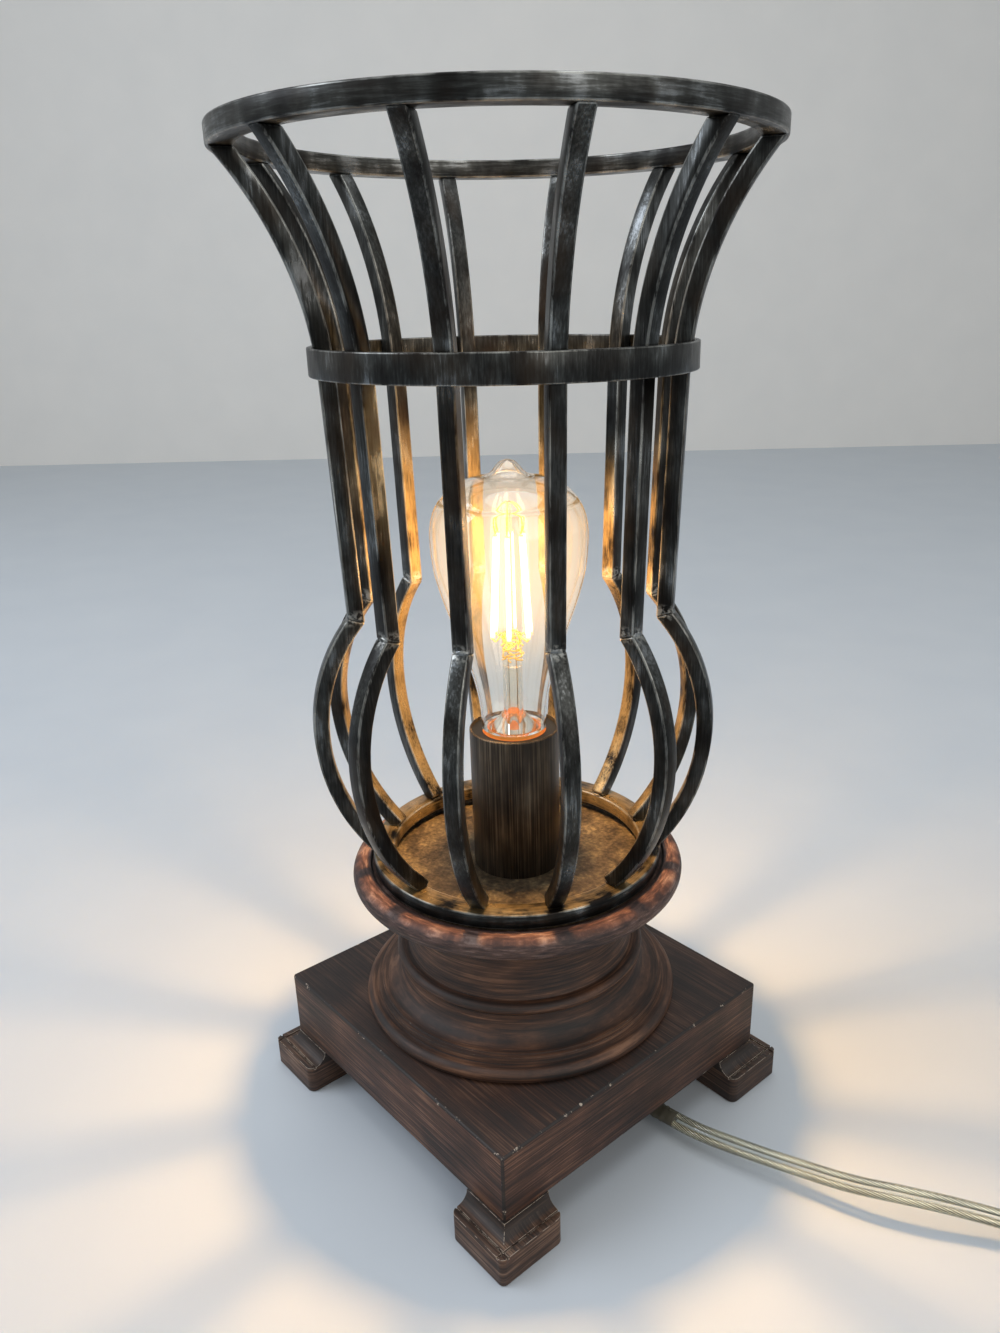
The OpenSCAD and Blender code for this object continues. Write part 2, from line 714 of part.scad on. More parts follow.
module switch_cover() {
    color("#26221e") switch_frame() difference() {
        round_box(switch_l, switch_w, switch_lift, 9);
        translate([0, 0, slot_h / 2 - switch_h]) switch_slot(switch_h);
    }
}

module switch_wheel() {
    color("#3a332c") switch_frame() translate([0, wheel_y, -wheel_t / 2]) difference() {
        cylinder(h = wheel_t, r = wheel_r);
        translate([0, 0, -1]) cylinder(h = wheel_t + 2, r = axle_r + running);
        for (i = [1 : teeth]) rotate(i * 360 / teeth)
            translate([wheel_r + 0.4, 0, -1]) cylinder(h = wheel_t + 2, r = 0.9, $fn = 24);
    }
}

// Flat two-blade plug with a tapered tail
module plug_body() {
    color("#d8d4c6") translate(plug_from) rotate(plug_heading) union() {
        translate([plug_l * 0.55, 0, -plug_lift]) round_box(plug_l * 0.9, plug_w, plug_h, 3);
        rotate([0, 90, 0]) cylinder(h = plug_l * 0.3, r = cord_d / 2 + 1.5);
    }
}

module plug_blades() {
    color("#c9b06a") translate(plug_from) rotate(plug_heading) for (y = [-1, 1])
        translate([plug_l + slit, y * blade_gap / 2 - blade_t / 2, -blade_w / 2])
            cube([blade_l, blade_t, blade_w]);
}

for (i = [0 : 3]) foot(i);
plinth_slab();
pedestal();
cap_disc();
cage_pan();
bottom_ring();
mid_band();
top_ring();
for (i = [0 : rib_count - 1]) flare_rib(i);
for (i = [0 : rib_count - 1]) belly_rib(i);
socket_shell();
socket_core();
screw_shell();
centre_contact();
terminal_screws();
threaded_pipe();
pipe_nuts();
pipe_washer();
bulb_glass();
bulb_cap();
bulb_tip();
glass_stem();
filaments();
filament_wires();
cord_bushing();
inner_cord();
cord_run();
cord_coil();
cord_tail();
switch_base();
switch_cover();
switch_wheel();
cord_lead();
plug_body();
plug_blades();
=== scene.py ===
"""Cage table lamp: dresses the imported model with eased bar, brushed wood, clear glass and a flat clear cord."""

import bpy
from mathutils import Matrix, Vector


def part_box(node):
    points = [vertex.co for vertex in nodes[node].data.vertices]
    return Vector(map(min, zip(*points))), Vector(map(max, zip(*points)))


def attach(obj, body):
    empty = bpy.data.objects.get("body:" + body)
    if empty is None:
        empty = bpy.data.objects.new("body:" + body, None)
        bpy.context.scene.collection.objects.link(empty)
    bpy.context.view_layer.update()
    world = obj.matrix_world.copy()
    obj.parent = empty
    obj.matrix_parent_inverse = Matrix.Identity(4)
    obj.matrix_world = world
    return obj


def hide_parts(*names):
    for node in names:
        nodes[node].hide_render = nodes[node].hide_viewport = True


bl_info = {
    "name": "Cage Table Lamp",
    "version": (1, 0, 0),
    "blender": (4, 5, 0),
    "location": "3D View > Sidebar > Lamp",
    "description": "Builds a lit cage table lamp with its cord, stage and camera",
    "category": "Object",
}

from math import cos, radians, sin, tau

import bmesh
import bpy
from mathutils import Matrix, Vector

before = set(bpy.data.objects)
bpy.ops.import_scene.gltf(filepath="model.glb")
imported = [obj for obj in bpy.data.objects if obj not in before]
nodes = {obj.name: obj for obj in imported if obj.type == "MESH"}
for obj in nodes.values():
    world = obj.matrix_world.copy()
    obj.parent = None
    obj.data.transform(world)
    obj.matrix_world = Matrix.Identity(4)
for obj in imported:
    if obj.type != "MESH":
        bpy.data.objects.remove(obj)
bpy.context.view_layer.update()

MM = 0.001
UP = Vector((0, 0, 1))
BODY = "lamp"

# The camera as solved from the photograph: angles in degrees, distances in metres, and pixels of its frame.
AZIMUTH, PITCH, YAW, ROLL = 49.654, 21.586, 1.056, -1.130
EYE_OUT, EYE_UP = 0.407961, 0.356984
FRAME_W, FRAME_H = 1000, 1333
FOCAL, MIDDLE_X, MIDDLE_Y = 1024.355, 531.057, 700.0
SENSOR = 36

# The cage: its bars, and the angle of the first one in degrees.
BAR_COUNT = 12
CAGE_TURN = 3.7
FLARES = ["flare_rib_%02d" % i for i in range(1, BAR_COUNT + 1)]
BELLIES = ["belly_rib_%02d" % i for i in range(1, BAR_COUNT + 1)]
WELD_Z = 239.3
# Radius and height of each bar's welds in mm, and the beads' half sizes across, along and up.
WELDS = (
    (66.6, WELD_Z, (0.9, 2.9, 1.3)),
    (61.2, WELD_Z, (0.8, 2.7, 1.1)),
    (93.2, 404.4, (0.9, 2.7, 0.8)),
    (55.2, 129.8, (0.8, 2.6, 0.7)),
)

# The bulb: its filaments and the angle of the first one, then its neck, wall, dome and light's height in mm.
FILAMENTS = 6
FILAMENT_TURN = 12
NECK_R = 11.65
NECK_H = 3
WALL = 0.9
DOME_H = 30.6
GLOW_Z = 248


def linear(code, share=1.0):
    """Turns a six-digit sRGB colour, times a share, into linear red, green, blue and a full alpha."""
    parts = [int(code[k : k + 2], 16) / 255 for k in (1, 3, 5)]
    light = [p / 12.92 if p <= 0.04045 else ((p + 0.055) / 1.055) ** 2.4 for p in parts]
    return tuple(share * p for p in light) + (1.0,)


def add(tree, kind, links=None, stops=None, **settings):
    """Adds a shader node of a kind with its settings, then sets or links its inputs.

    A node given for an input stands for its first output in use, and stops are a ramp's places and colours.
    """
    node = tree.nodes.new("ShaderNode" + kind)
    for name, value in settings.items():
        setattr(node, name, value)
    for key, value in (links or {}).items():
        if isinstance(value, bpy.types.Node):
            value = next(output for output in value.outputs if output.enabled)
        if isinstance(value, bpy.types.NodeSocket):
            tree.links.new(value, node.inputs[key])
        else:
            node.inputs[key].default_value = value
    if stops:
        ramp = node.color_ramp
        while len(ramp.elements) < len(stops):
            ramp.elements.new(1.0)
        for element, (place, colour) in zip(ramp.elements, stops):
            element.position = place
            element.color = linear(colour) if isinstance(colour, str) else colour
    return node


def new_material(name):
    """Starts a material with an empty node tree."""
    material = bpy.data.materials.new(name)
    material.use_nodes = True
    material.node_tree.nodes.clear()
    return material, material.node_tree


def finish_material(material, shader):
    """Joins the last shader to the material's output."""
    add(material.node_tree, "OutputMaterial", {"Surface": shader})
    return material


def straight_place(tree, *size):
    """Object coordinates for a pattern of the given size in mm: one size, or one each along X, Y and Z."""
    place = add(tree, "TexCoord").outputs["Object"]
    scale = [1 / (s * MM) for s in (size if len(size) == 3 else size * 3)]
    return add(tree, "Mapping", {"Vector": place, "Scale": scale})


def round_place(tree, radius, along, across):
    """Coordinates wound round the lamp's axis without a seam, for streaks along a circle; sizes are in mm."""
    place = add(tree, "TexCoord").outputs["Object"]
    split = add(tree, "SeparateXYZ", {0: place})
    flat = add(tree, "CombineXYZ", {0: split.outputs["X"], 1: split.outputs["Y"], 2: 0.0})
    reach = add(tree, "VectorMath", {0: flat}, operation="LENGTH")
    unit = add(tree, "VectorMath", {0: flat}, operation="NORMALIZE")
    ring = add(tree, "VectorMath", {0: unit, "Scale": radius / along}, operation="SCALE")
    # Level faces get streaks too, as the radius adds to the height.
    step = add(tree, "Math", {0: reach, 1: 0.73, 2: split.outputs["Z"]}, operation="MULTIPLY_ADD")
    rise = add(tree, "CombineXYZ", {0: 0.0, 1: 0.0, 2: step})
    high = add(tree, "VectorMath", {0: rise, "Scale": 1 / (across * MM)}, operation="SCALE")
    return add(tree, "VectorMath", {0: ring, 1: high}, operation="ADD")


def height_of(tree):
    """The height over the table, in metres."""
    place = add(tree, "TexCoord").outputs["Object"]
    return add(tree, "SeparateXYZ", {0: place}).outputs["Z"]


def facing_up(tree):
    """How far the surface faces up, from -1 to 1."""
    normal = add(tree, "NewGeometry").outputs["Normal"]
    return add(tree, "SeparateXYZ", {0: normal}).outputs["Z"]


def slab_place(tree):
    """Streaks that run level along the slab's sides and along X on its top."""
    sides = straight_place(tree, 34, 34, 0.8)
    top = straight_place(tree, 34, 0.9, 34)
    up = add(tree, "Math", {0: facing_up(tree), 1: 0.7}, operation="GREATER_THAN")
    return add(tree, "Mix", {0: up, 4: sides, 5: top}, data_type="VECTOR")


def blend_patterns(tree, first, second, share):
    """Two patterns in one: a share of the first, and the rest from the second."""
    rest = add(tree, "Math", {0: second, 1: 1 - share}, operation="MULTIPLY")
    return add(tree, "Math", {0: first, 1: share, 2: rest}, operation="MULTIPLY_ADD")


def painted_lamplight_share(tree, marks, lamplight_up):
    """Where painted warm lamplight from the bulb shows: low in the cage, on faces that look in and, by
    lamplight_up, on level ones.
    """
    place = add(tree, "TexCoord").outputs["Object"]
    flat = add(tree, "VectorMath", {0: place, 1: (1.0, 1.0, 0.0)}, operation="MULTIPLY")
    outward = add(tree, "VectorMath", {0: flat}, operation="NORMALIZE")
    normal = add(tree, "NewGeometry").outputs["Normal"]
    facing = add(tree, "VectorMath", {0: outward, 1: normal}, operation="DOT_PRODUCT")
    inner = add(tree, "MapRange", {"Value": facing, "From Min": -0.35, "From Max": -0.7, "To Max": 0.85})
    upper = add(tree, "MapRange", {
        "Value": facing_up(tree), "From Min": 0.6, "From Max": 0.9, "To Max": lamplight_up})
    either = add(tree, "Math", {0: inner, 1: upper}, operation="MAXIMUM")
    # It fades out from 265 to 315 mm up.
    low = add(tree, "MapRange", {"Value": height_of(tree), "From Min": 0.315, "From Max": 0.265})
    lamplit_low = add(tree, "Math", {0: either, 1: low}, operation="MULTIPLY")
    on_marks = add(tree, "MapRange", {"Value": marks, "From Min": 0.4, "From Max": 0.54})
    return add(tree, "Math", {0: lamplit_low, 1: on_marks}, operation="MULTIPLY")


def weld_shine(tree):
    """The weld where each bar kinks, ground bright over about 5 mm, with 1.8 mm grit."""
    off = add(tree, "Math", {0: height_of(tree), 1: WELD_Z * MM}, operation="SUBTRACT")
    near = add(tree, "Math", {0: off}, operation="ABSOLUTE")
    weld = add(tree, "MapRange", {
        "Value": near, "From Min": 1.2 * MM, "From Max": 3.6 * MM, "To Min": 1.0, "To Max": 0.0})
    grit = add(tree, "TexNoise", {"Vector": straight_place(tree, 1.8), "Scale": 1.0, "Detail": 2.0})
    ground = add(tree, "MapRange", {"Value": grit, "From Min": 0.44, "From Max": 0.6, "To Max": 0.7})
    return add(tree, "Math", {0: weld, 1: ground}, operation="MULTIPLY")


def blackened_steel(name, place, look, silver=0.0, patina_share=0.4, lamplight_up=0.0):
    """Square mild-steel bar, blackened, then dry-brushed: dark and mottled, bright on its edges and welds.

    silver makes the brush marks paler, patina_share is how brown the steel gets, and lamplight_up is how much
    painted lamplight level faces get.
    """
    material, tree = new_material(name)
    # Brush marks of the size that place gives, over mottling 12 mm across from uneven blackening.
    marks = add(tree, "TexNoise", {"Vector": place(tree), "Scale": 1.0, "Detail": 6.0, "Roughness": 0.7})
    spots = add(tree, "TexNoise", {"Vector": straight_place(tree, 12, 12, 20), "Scale": 1.0, "Detail": 4.0})
    both = blend_patterns(tree, marks, spots, 0.4)
    tones = (look.steel_black, look.steel_dark, look.steel_grey, look.steel_silver)
    tone = add(tree, "ValToRGB", {"Fac": both}, stops=[
        (start - silver, colour) for start, colour in zip((0.38, 0.48, 0.56, 0.66), tones)])
    # Patches of brown 16 mm across, and over them a warm gold that is painted lamplight from the bulb, on faces
    # that look in.
    patina = add(tree, "TexNoise", {"Vector": straight_place(tree, 16, 16, 30), "Scale": 1.0, "Detail": 2.0})
    brown = add(tree, "MapRange", {"Value": patina, "From Min": 0.5, "From Max": 0.7, "To Max": patina_share})
    aged = add(tree, "Mix", {0: brown, 6: tone, 7: linear("#372b1f")}, data_type="RGBA")
    lamplit = add(tree, "Mix", {
        0: painted_lamplight_share(tree, both, lamplight_up), 6: aged, 7: linear("#a08659")}, data_type="RGBA")
    # Bare silvery metal on rubbed edges and ground welds.
    edge = add(tree, "Attribute", attribute_name="worn").outputs["Fac"]
    rubbed = add(tree, "MapRange", {"Value": both, "From Min": 0.42, "From Max": 0.6, "To Max": 0.55})
    bright = add(tree, "Math", {0: edge, 1: rubbed}, operation="MULTIPLY")
    most = add(tree, "Math", {0: bright, 1: weld_shine(tree)}, operation="MAXIMUM")
    colour = add(tree, "Mix", {0: most, 6: lamplit, 7: linear("#a5a6a1")}, data_type="RGBA")
    rough = add(tree, "MapRange", {
        "Value": both, "From Min": 0.36, "From Max": 0.64, "To Min": 0.42, "To Max": 0.24})
    bump = add(tree, "Bump", {"Height": both, "Strength": 0.35, "Distance": 0.25 * MM})
    shader = add(tree, "BsdfPrincipled", {
        "Base Color": colour, "Metallic": 0.8, "Roughness": rough, "Normal": bump})
    return finish_material(material, shader)


def brushed_wood(name, place, tones, chips, chip_from, top_darkening=0.0, cove_shade_z=None):
    """Close-grained hardwood, stained dark and dry-brushed: fine streaks, and paint worn through at edges.

    chips is how pale the chips are and chip_from how rare. top_darkening is how much darker faces that look up
    are made, and above a height of cove_shade_z in mm the wood is painted nearly black, as shade in the cove
    under the slab.
    """
    material, tree = new_material(name)
    # Streaks of stain as place gives them, over clouds of darker and paler stain 30 mm across.
    streaks = add(tree, "TexNoise", {"Vector": place(tree), "Scale": 1.0, "Detail": 6.0, "Roughness": 0.66})
    clouds = add(tree, "TexNoise", {"Vector": straight_place(tree, 30, 30, 22), "Scale": 1.0, "Detail": 3.0})
    both = blend_patterns(tree, streaks, clouds, 0.66)
    tone = add(tree, "ValToRGB", {"Fac": both}, stops=list(zip((0.38, 0.47, 0.54, 0.65), tones)))
    # Faces that look up are made darker, by the share given.
    top_dark_and_shade = add(tree, "MapRange", {
        "Value": facing_up(tree), "From Min": 0.5, "From Max": 0.9, "To Max": top_darkening})
    # Above the given height, the feet's cove under the slab is painted nearly black as shade.
    if cove_shade_z:
        cove_shade = add(tree, "MapRange", {
            "Value": height_of(tree), "From Min": (cove_shade_z - 0.6) * MM, "From Max": cove_shade_z * MM, "To Max": 0.8})
        top_dark_and_shade = add(tree, "Math", {0: top_dark_and_shade, 1: cove_shade}, operation="MAXIMUM")
    darkened = add(tree, "Mix", {0: top_dark_and_shade, 6: tone, 7: linear("#120b08")}, data_type="RGBA")
    # Eased edges are darkened, partly as dirt and partly as painted shade in grooves, with chips 1 to 3 mm across
    # down to the pale ground coat.
    edge = add(tree, "Attribute", attribute_name="worn").outputs["Fac"]
    dirt_and_shade = add(tree, "Math", {0: edge, 1: 0.9}, operation="MULTIPLY")
    shaded = add(tree, "Mix", {0: dirt_and_shade, 6: darkened, 7: linear("#0f0907")}, data_type="RGBA")
    nicks = add(tree, "TexNoise", {
        "Vector": straight_place(tree, 4.2), "Scale": 1.0, "Detail": 5.0, "Roughness": 0.75})
    bare = add(tree, "MapRange", {
        "Value": nicks, "From Min": chip_from, "From Max": chip_from + 0.04, "To Max": chips})
    pale = add(tree, "Math", {0: edge, 1: bare}, operation="MULTIPLY")
    colour = add(tree, "Mix", {0: pale, 6: shaded, 7: linear("#b9aa98")}, data_type="RGBA")
    rough = add(tree, "MapRange", {
        "Value": both, "From Min": 0.3, "From Max": 0.7, "To Min": 0.68, "To Max": 0.5})
    bump = add(tree, "Bump", {"Height": both, "Strength": 0.6, "Distance": 0.3 * MM})
    shader = add(tree, "BsdfPrincipled", {"Base Color": colour, "Roughness": rough, "Normal": bump})
    return finish_material(material, shader)


def gilt_pan():
    """Sheet steel with an antique gold wash: mottled 11 mm across, and rubbed with brown glaze."""
    material, tree = new_material("Gilt sheet steel")
    wash = add(tree, "TexNoise", {
        "Vector": straight_place(tree, 11), "Scale": 1.0, "Detail": 6.0, "Roughness": 0.65})
    grit = add(tree, "TexNoise", {"Vector": straight_place(tree, 1.6), "Scale": 1.0, "Detail": 3.0})
    both = blend_patterns(tree, wash, grit, 0.6)
    tone = add(tree, "ValToRGB", {"Fac": both}, stops=[
        (0.38, "#2c251c"), (0.48, "#4a3f30"), (0.57, "#675942"), (0.7, "#93815f")])
    bump = add(tree, "Bump", {"Height": both, "Strength": 0.4, "Distance": 0.3 * MM})
    shader = add(tree, "BsdfPrincipled", {
        "Base Color": tone, "Metallic": 0.45, "Roughness": 0.5, "Normal": bump})
    return finish_material(material, shader)


def brushed_bronze():
    """Thin brass sleeve, bronzed and brushed up and down: upright lines 0.6 mm apart over brown-gold metal."""
    material, tree = new_material("Brushed bronzed brass")
    lines = add(tree, "TexNoise", {
        "Vector": straight_place(tree, 0.6, 0.6, 55), "Scale": 1.0, "Detail": 4.0, "Roughness": 0.6})
    stains = add(tree, "TexNoise", {"Vector": straight_place(tree, 12, 12, 26), "Scale": 1.0, "Detail": 3.0})
    both = blend_patterns(tree, lines, stains, 0.6)
    tone = add(tree, "ValToRGB", {"Fac": both}, stops=[
        (0.38, "#1b1815"), (0.48, "#332d26"), (0.56, "#4b4338"), (0.68, "#746857")])
    bump = add(tree, "Bump", {"Height": lines, "Strength": 0.3, "Distance": 0.1 * MM})
    shader = add(tree, "BsdfPrincipled", {
        "Base Color": tone, "Metallic": 0.75, "Roughness": 0.38, "Normal": bump})
    return finish_material(material, shader)


def plain_metal(name, colour, rough, glow=0.0):
    """Plated or turned metal with a faint grain 1.2 mm apart; glow stands for lamplight caught inside it."""
    material, tree = new_material(name)
    grain = add(tree, "TexNoise", {"Vector": straight_place(tree, 1.2), "Scale": 1.0, "Detail": 3.0})
    sheen = add(tree, "MapRange", {
        "Value": grain, "From Min": 0.3, "From Max": 0.7, "To Min": rough - 0.06, "To Max": rough + 0.08})
    tint = add(tree, "Mix", {0: grain, 6: linear(colour), 7: linear(colour, 0.72)}, data_type="RGBA")
    shader = add(tree, "BsdfPrincipled", {
        "Base Color": tint, "Metallic": 0.95, "Roughness": sheen,
        "Emission Color": linear("#f0a04e"), "Emission Strength": glow})
    return finish_material(material, shader)


def moulded_plastic(name, colour, rough):
    """Injection-moulded plastic: even colour and a spark-eroded texture, 0.8 mm apart so that it shows."""
    material, tree = new_material(name)
    grain = add(tree, "TexNoise", {"Vector": straight_place(tree, 0.8), "Scale": 1.0, "Detail": 2.0})
    bump = add(tree, "Bump", {"Height": grain, "Strength": 0.25, "Distance": 0.05 * MM})
    tint = add(tree, "Mix", {0: grain, 6: linear(colour), 7: linear(colour, 0.85)}, data_type="RGBA")
    shader = add(tree, "BsdfPrincipled", {"Base Color": tint, "Roughness": rough, "Normal": bump})
    return finish_material(material, shader)


def clear_to_light(tree, shader, tint):
    """Lets the lamps' light through a clear shader, tinted, where it would throw a solid shadow."""
    path = add(tree, "LightPath")
    open_way = add(tree, "BsdfTransparent", {"Color": tint})
    return add(tree, "MixShader", {0: path.outputs["Is Shadow Ray"], 1: shader, 2: open_way})


def clear_glass(name, tint, glow):
    """Blown soda-lime glass: clear with sharp highlights, and a painted warm glow where it faces the lit
    filaments.
    """
    material, tree = new_material(name)
    height = height_of(tree)
    # The painted glow rises from 205 mm up, is full from 245 to 268 mm and faint from 292 mm.
    low = add(tree, "MapRange", {
        "Value": height, "From Min": 0.205, "From Max": 0.245}, interpolation_type="SMOOTHSTEP")
    high = add(tree, "MapRange", {
        "Value": height, "From Min": 0.268, "From Max": 0.292, "To Min": 1.0, "To Max": 0.25},
        interpolation_type="SMOOTHSTEP")
    middle = add(tree, "Math", {0: low, 1: high}, operation="MULTIPLY")
    facing = add(tree, "LayerWeight", {"Blend": 0.5}).outputs["Facing"]
    toward = add(tree, "MapRange", {
        "Value": facing, "From Min": 0.0, "From Max": 0.95, "To Min": glow, "To Max": 0.0})
    painted_glow = add(tree, "Math", {0: middle, 1: toward}, operation="MULTIPLY")
    glass = add(tree, "BsdfPrincipled", {
        "Base Color": linear(tint), "Roughness": 0.0, "IOR": 1.45, "Transmission Weight": 1.0,
        "Emission Color": linear("#ffc878"), "Emission Strength": painted_glow})
    return finish_material(material, clear_to_light(tree, glass, (1.0, 0.97, 0.92, 1.0)))


def lit_wire():
    """Nickel-plated support wire: plain metal low down, yellow with the filaments' light at both their ends."""
    material, tree = new_material("Lit nickel wire")
    # How much light it catches between 190 and 290 mm up.
    up = add(tree, "MapRange", {"Value": height_of(tree), "From Min": 0.19, "From Max": 0.29})
    caught = ((0.0, 0.02), (0.2, 0.08), (0.3, 0.6), (0.7, 0.6), (0.8, 1.0), (0.93, 0.7))
    share = add(tree, "ValToRGB", {"Fac": up}, stops=[(at, (part, part, part, 1.0)) for at, part in caught])
    power = add(tree, "Math", {0: share, 1: 1.3}, operation="MULTIPLY")
    shader = add(tree, "BsdfPrincipled", {
        "Base Color": linear("#b59a6a"), "Metallic": 0.9, "Roughness": 0.3,
        "Emission Color": linear("#ffc23c"), "Emission Strength": power})
    return finish_material(material, shader)


def lit_filament(look):
    """Phosphor-coated filament at full power: white-hot along its length and yellow at both ends."""
    material, tree = new_material("Lit phosphor filament")
    low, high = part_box("filaments")
    part = add(tree, "MapRange", {"Value": height_of(tree), "From Min": low.z, "From Max": high.z})
    tone = add(tree, "ValToRGB", {"Fac": part}, stops=[
        (0.0, "#ffb02e"), (0.06, "#ffeec8"), (0.94, "#ffeec8"), (1.0, "#ffb02e")])
    shader = add(tree, "BsdfPrincipled", {
        "Base Color": linear("#e8b65a"), "Roughness": 0.5,
        "Emission Color": tone, "Emission Strength": look.filament_power})
    return finish_material(material, shader)


def clear_jacket():
    """Clear PVC round both cores: faintly green-grey and glossy, with shallow extrusion ripples 5 mm apart."""
    material, tree = new_material("Clear extruded PVC")
    ripple = add(tree, "TexNoise", {"Vector": straight_place(tree, 5), "Scale": 1.0, "Detail": 2.0})
    bump = add(tree, "Bump", {"Height": ripple, "Strength": 0.3, "Distance": 0.2 * MM})
    shader = add(tree, "BsdfPrincipled", {
        "Base Color": linear("#eef0e6"), "Roughness": 0.06, "IOR": 1.53, "Transmission Weight": 0.96,
        "Normal": bump})
    return finish_material(material, clear_to_light(tree, shader, (0.72, 0.73, 0.7, 1.0)))


def stranded_wire(name, dark, pale):
    """Bunched fine strands, twisted: slanting lines with painted shade between the strands and painted highlight
    on them, drawn 0.7 mm apart so that they show.
    """
    material, tree = new_material(name)
    # The UV map holds mm along the cord and turns round it; a band of the wave is a tenth of tau.
    strands, twist = 9, 30
    bands = strands * tau / 10
    place = add(tree, "UVMap", uv_map="UVMap")
    lines = add(tree, "Mapping", {"Vector": place, "Scale": (bands / twist, bands, 1.0)})
    wave = add(tree, "TexWave", {
        "Vector": lines, "Scale": 1.0, "Distortion": 0.8, "Detail": 1.0, "Detail Scale": 0.6},
        wave_type="BANDS", bands_direction="DIAGONAL").outputs["Fac"]
    long = add(tree, "Mapping", {"Vector": place, "Scale": (0.04, 3.0, 1.0)})
    patch = add(tree, "TexNoise", {"Vector": long, "Scale": 1.0, "Detail": 4.0})
    both = add(tree, "Math", {0: wave, 1: 0.5, 2: patch}, operation="MULTIPLY_ADD")
    # The darkest stop is painted shade between the strands, and the palest a painted highlight on them.
    tone = add(tree, "ValToRGB", {"Fac": both}, stops=[(0.45, dark), (0.72, pale), (0.98, "#f4efdc")])
    shader = add(tree, "BsdfPrincipled", {"Base Color": tone, "Metallic": 0.7, "Roughness": 0.35})
    return finish_material(material, shader)


def new_object(name, data):
    """Makes an object of the data and shows it in the scene."""
    made = bpy.data.objects.new(name, data)
    bpy.context.scene.collection.objects.link(made)
    return made


def put(piece, material, slot, *replaced):
    """Gives a finished piece its material and body, and hides the CAD nodes it stands for; slot is not used."""
    piece.data.materials.clear()
    piece.data.materials.append(material)
    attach(piece, BODY)
    if replaced:
        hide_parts(*replaced)
    return piece


def new_piece(name, bm, angle=35):
    """Makes an object from a bmesh, smooth where its faces meet at less than the angle."""
    mesh = bpy.data.meshes.new(name)
    bm.to_mesh(mesh)
    bm.free()
    mesh.shade_smooth()
    mesh.set_sharp_from_angle(angle=radians(angle))
    return new_object(name, mesh)


def eased_copy(node, name, width, segments, angle):
    """Copies a CAD node with its sharp edges eased by width in metres, and marks the eased faces as worn; wood
    darkens these faces as dirt and painted shade.
    """
    bm = bmesh.new()
    bm.from_mesh(nodes[node].data)
    bmesh.ops.remove_doubles(bm, verts=bm.verts, dist=0.002 * MM)
    bmesh.ops.dissolve_limit(bm, angle_limit=radians(0.4), verts=bm.verts, edges=bm.edges)
    worn = bm.loops.layers.float_color.new("worn")
    sharp = [e for e in bm.edges if len(e.link_faces) == 2 and e.calc_face_angle() > radians(angle)]
    eased = bmesh.ops.bevel(bm, geom=sharp, offset=width, offset_type="OFFSET", segments=segments, profile=0.5,
        affect="EDGES", clamp_overlap=True, material=-1)
    rim = set(eased["faces"])
    for face in bm.faces:
        for loop in face.loops:
            loop[worn] = (1.0, 1.0, 1.0, 1.0) if face in rim else (0.0, 0.0, 0.0, 1.0)
    return new_piece(name, bm)


def put_eased(node, name, width, material, slot, segments=2, angle=38):
    """Eases a copy of a CAD node and puts it in the node's place."""
    return put(eased_copy(node, name, width, segments, angle), material, slot, node)


def joined_piece(name, parts):
    """Joins several pieces' meshes into one piece and drops the parts."""
    bm = bmesh.new()
    for part in parts:
        mesh = part.data
        bm.from_mesh(mesh)
        bpy.data.objects.remove(part)
        bpy.data.meshes.remove(mesh)
    return new_piece(name, bm, 40)


# The cord's route in metres, as the part's source has it; the angles of its lie are in degrees.
CORD_D = 6.5 * MM
COIL_GAP = 0.9 * MM
LIE_START = 14
LIE = 40
COIL_R = 48.5 * MM
COIL_TURN = radians(-62)
COIL_MID = Vector((0.246, 0.148, 0))
LOOPS = 6
LOOP_RINGS = 24
LAYER = CORD_D + COIL_GAP
LIFT = CORD_D / 2
AWAY = Vector((-sin(COIL_TURN), cos(COIL_TURN), 0))
ASIDE = Vector((-AWAY.y, AWAY.x, 0))
RUN_FROM = Vector((0.060, 0.020, 0.008))
RUN_POINTS = [Vector(p) for p in (
    (0.068, 0.020, 0.008), (0.076, 0.0205, 0.008), (0.093, 0.0235, 0.008), (0.115, 0.030, 0.009),
    (0.1365, 0.0365, 0.011), (0.156, 0.043, 0.013), (0.173, 0.052, 0.014), (0.189, 0.0625, 0.013),
    (0.205, 0.073, 0.011), (0.221, 0.084, 0.0075), (0.238, 0.094, 0.0044))]
COIL_IN = COIL_MID + Vector((COIL_R * cos(COIL_TURN), COIL_R * sin(COIL_TURN), LIFT))
COIL_OUT = COIL_IN + UP * LAYER
RUN_TO = COIL_IN - AWAY * CORD_D
TAIL_FROM = COIL_OUT + AWAY * CORD_D
SWITCH_LIFT = 8 * MM
SWITCH_L = 62 * MM
TAIL_BEND = 33 * MM
LEAD_BEND = 30 * MM
TAIL_MID = COIL_OUT + AWAY * 38 * MM + ASIDE * TAIL_BEND - UP * (LIFT + LAYER)
SWITCH_FROM = TAIL_MID + AWAY * TAIL_BEND + ASIDE * 2 * CORD_D + UP * SWITCH_LIFT
LEAD_FROM = SWITCH_FROM + ASIDE * SWITCH_L
LEAD_MID = LEAD_FROM - AWAY * LEAD_BEND + ASIDE * 2 * CORD_D - UP * SWITCH_LIFT
PLUG_FROM = LEAD_MID + ASIDE * LEAD_BEND - AWAY * 2 * CORD_D + UP * 7.5 * MM
# How far the jacket's lobes and the cores are off the cord's middle, and their radii, in mm.
LOBE_OFF, LOBE_R = 1.62, 1.63
CORE_OFF, CORE_R = 1.6, 0.95
# The seen run is a little larger than the coil, as the photograph shows it.
RUN_SIZE = 1.14
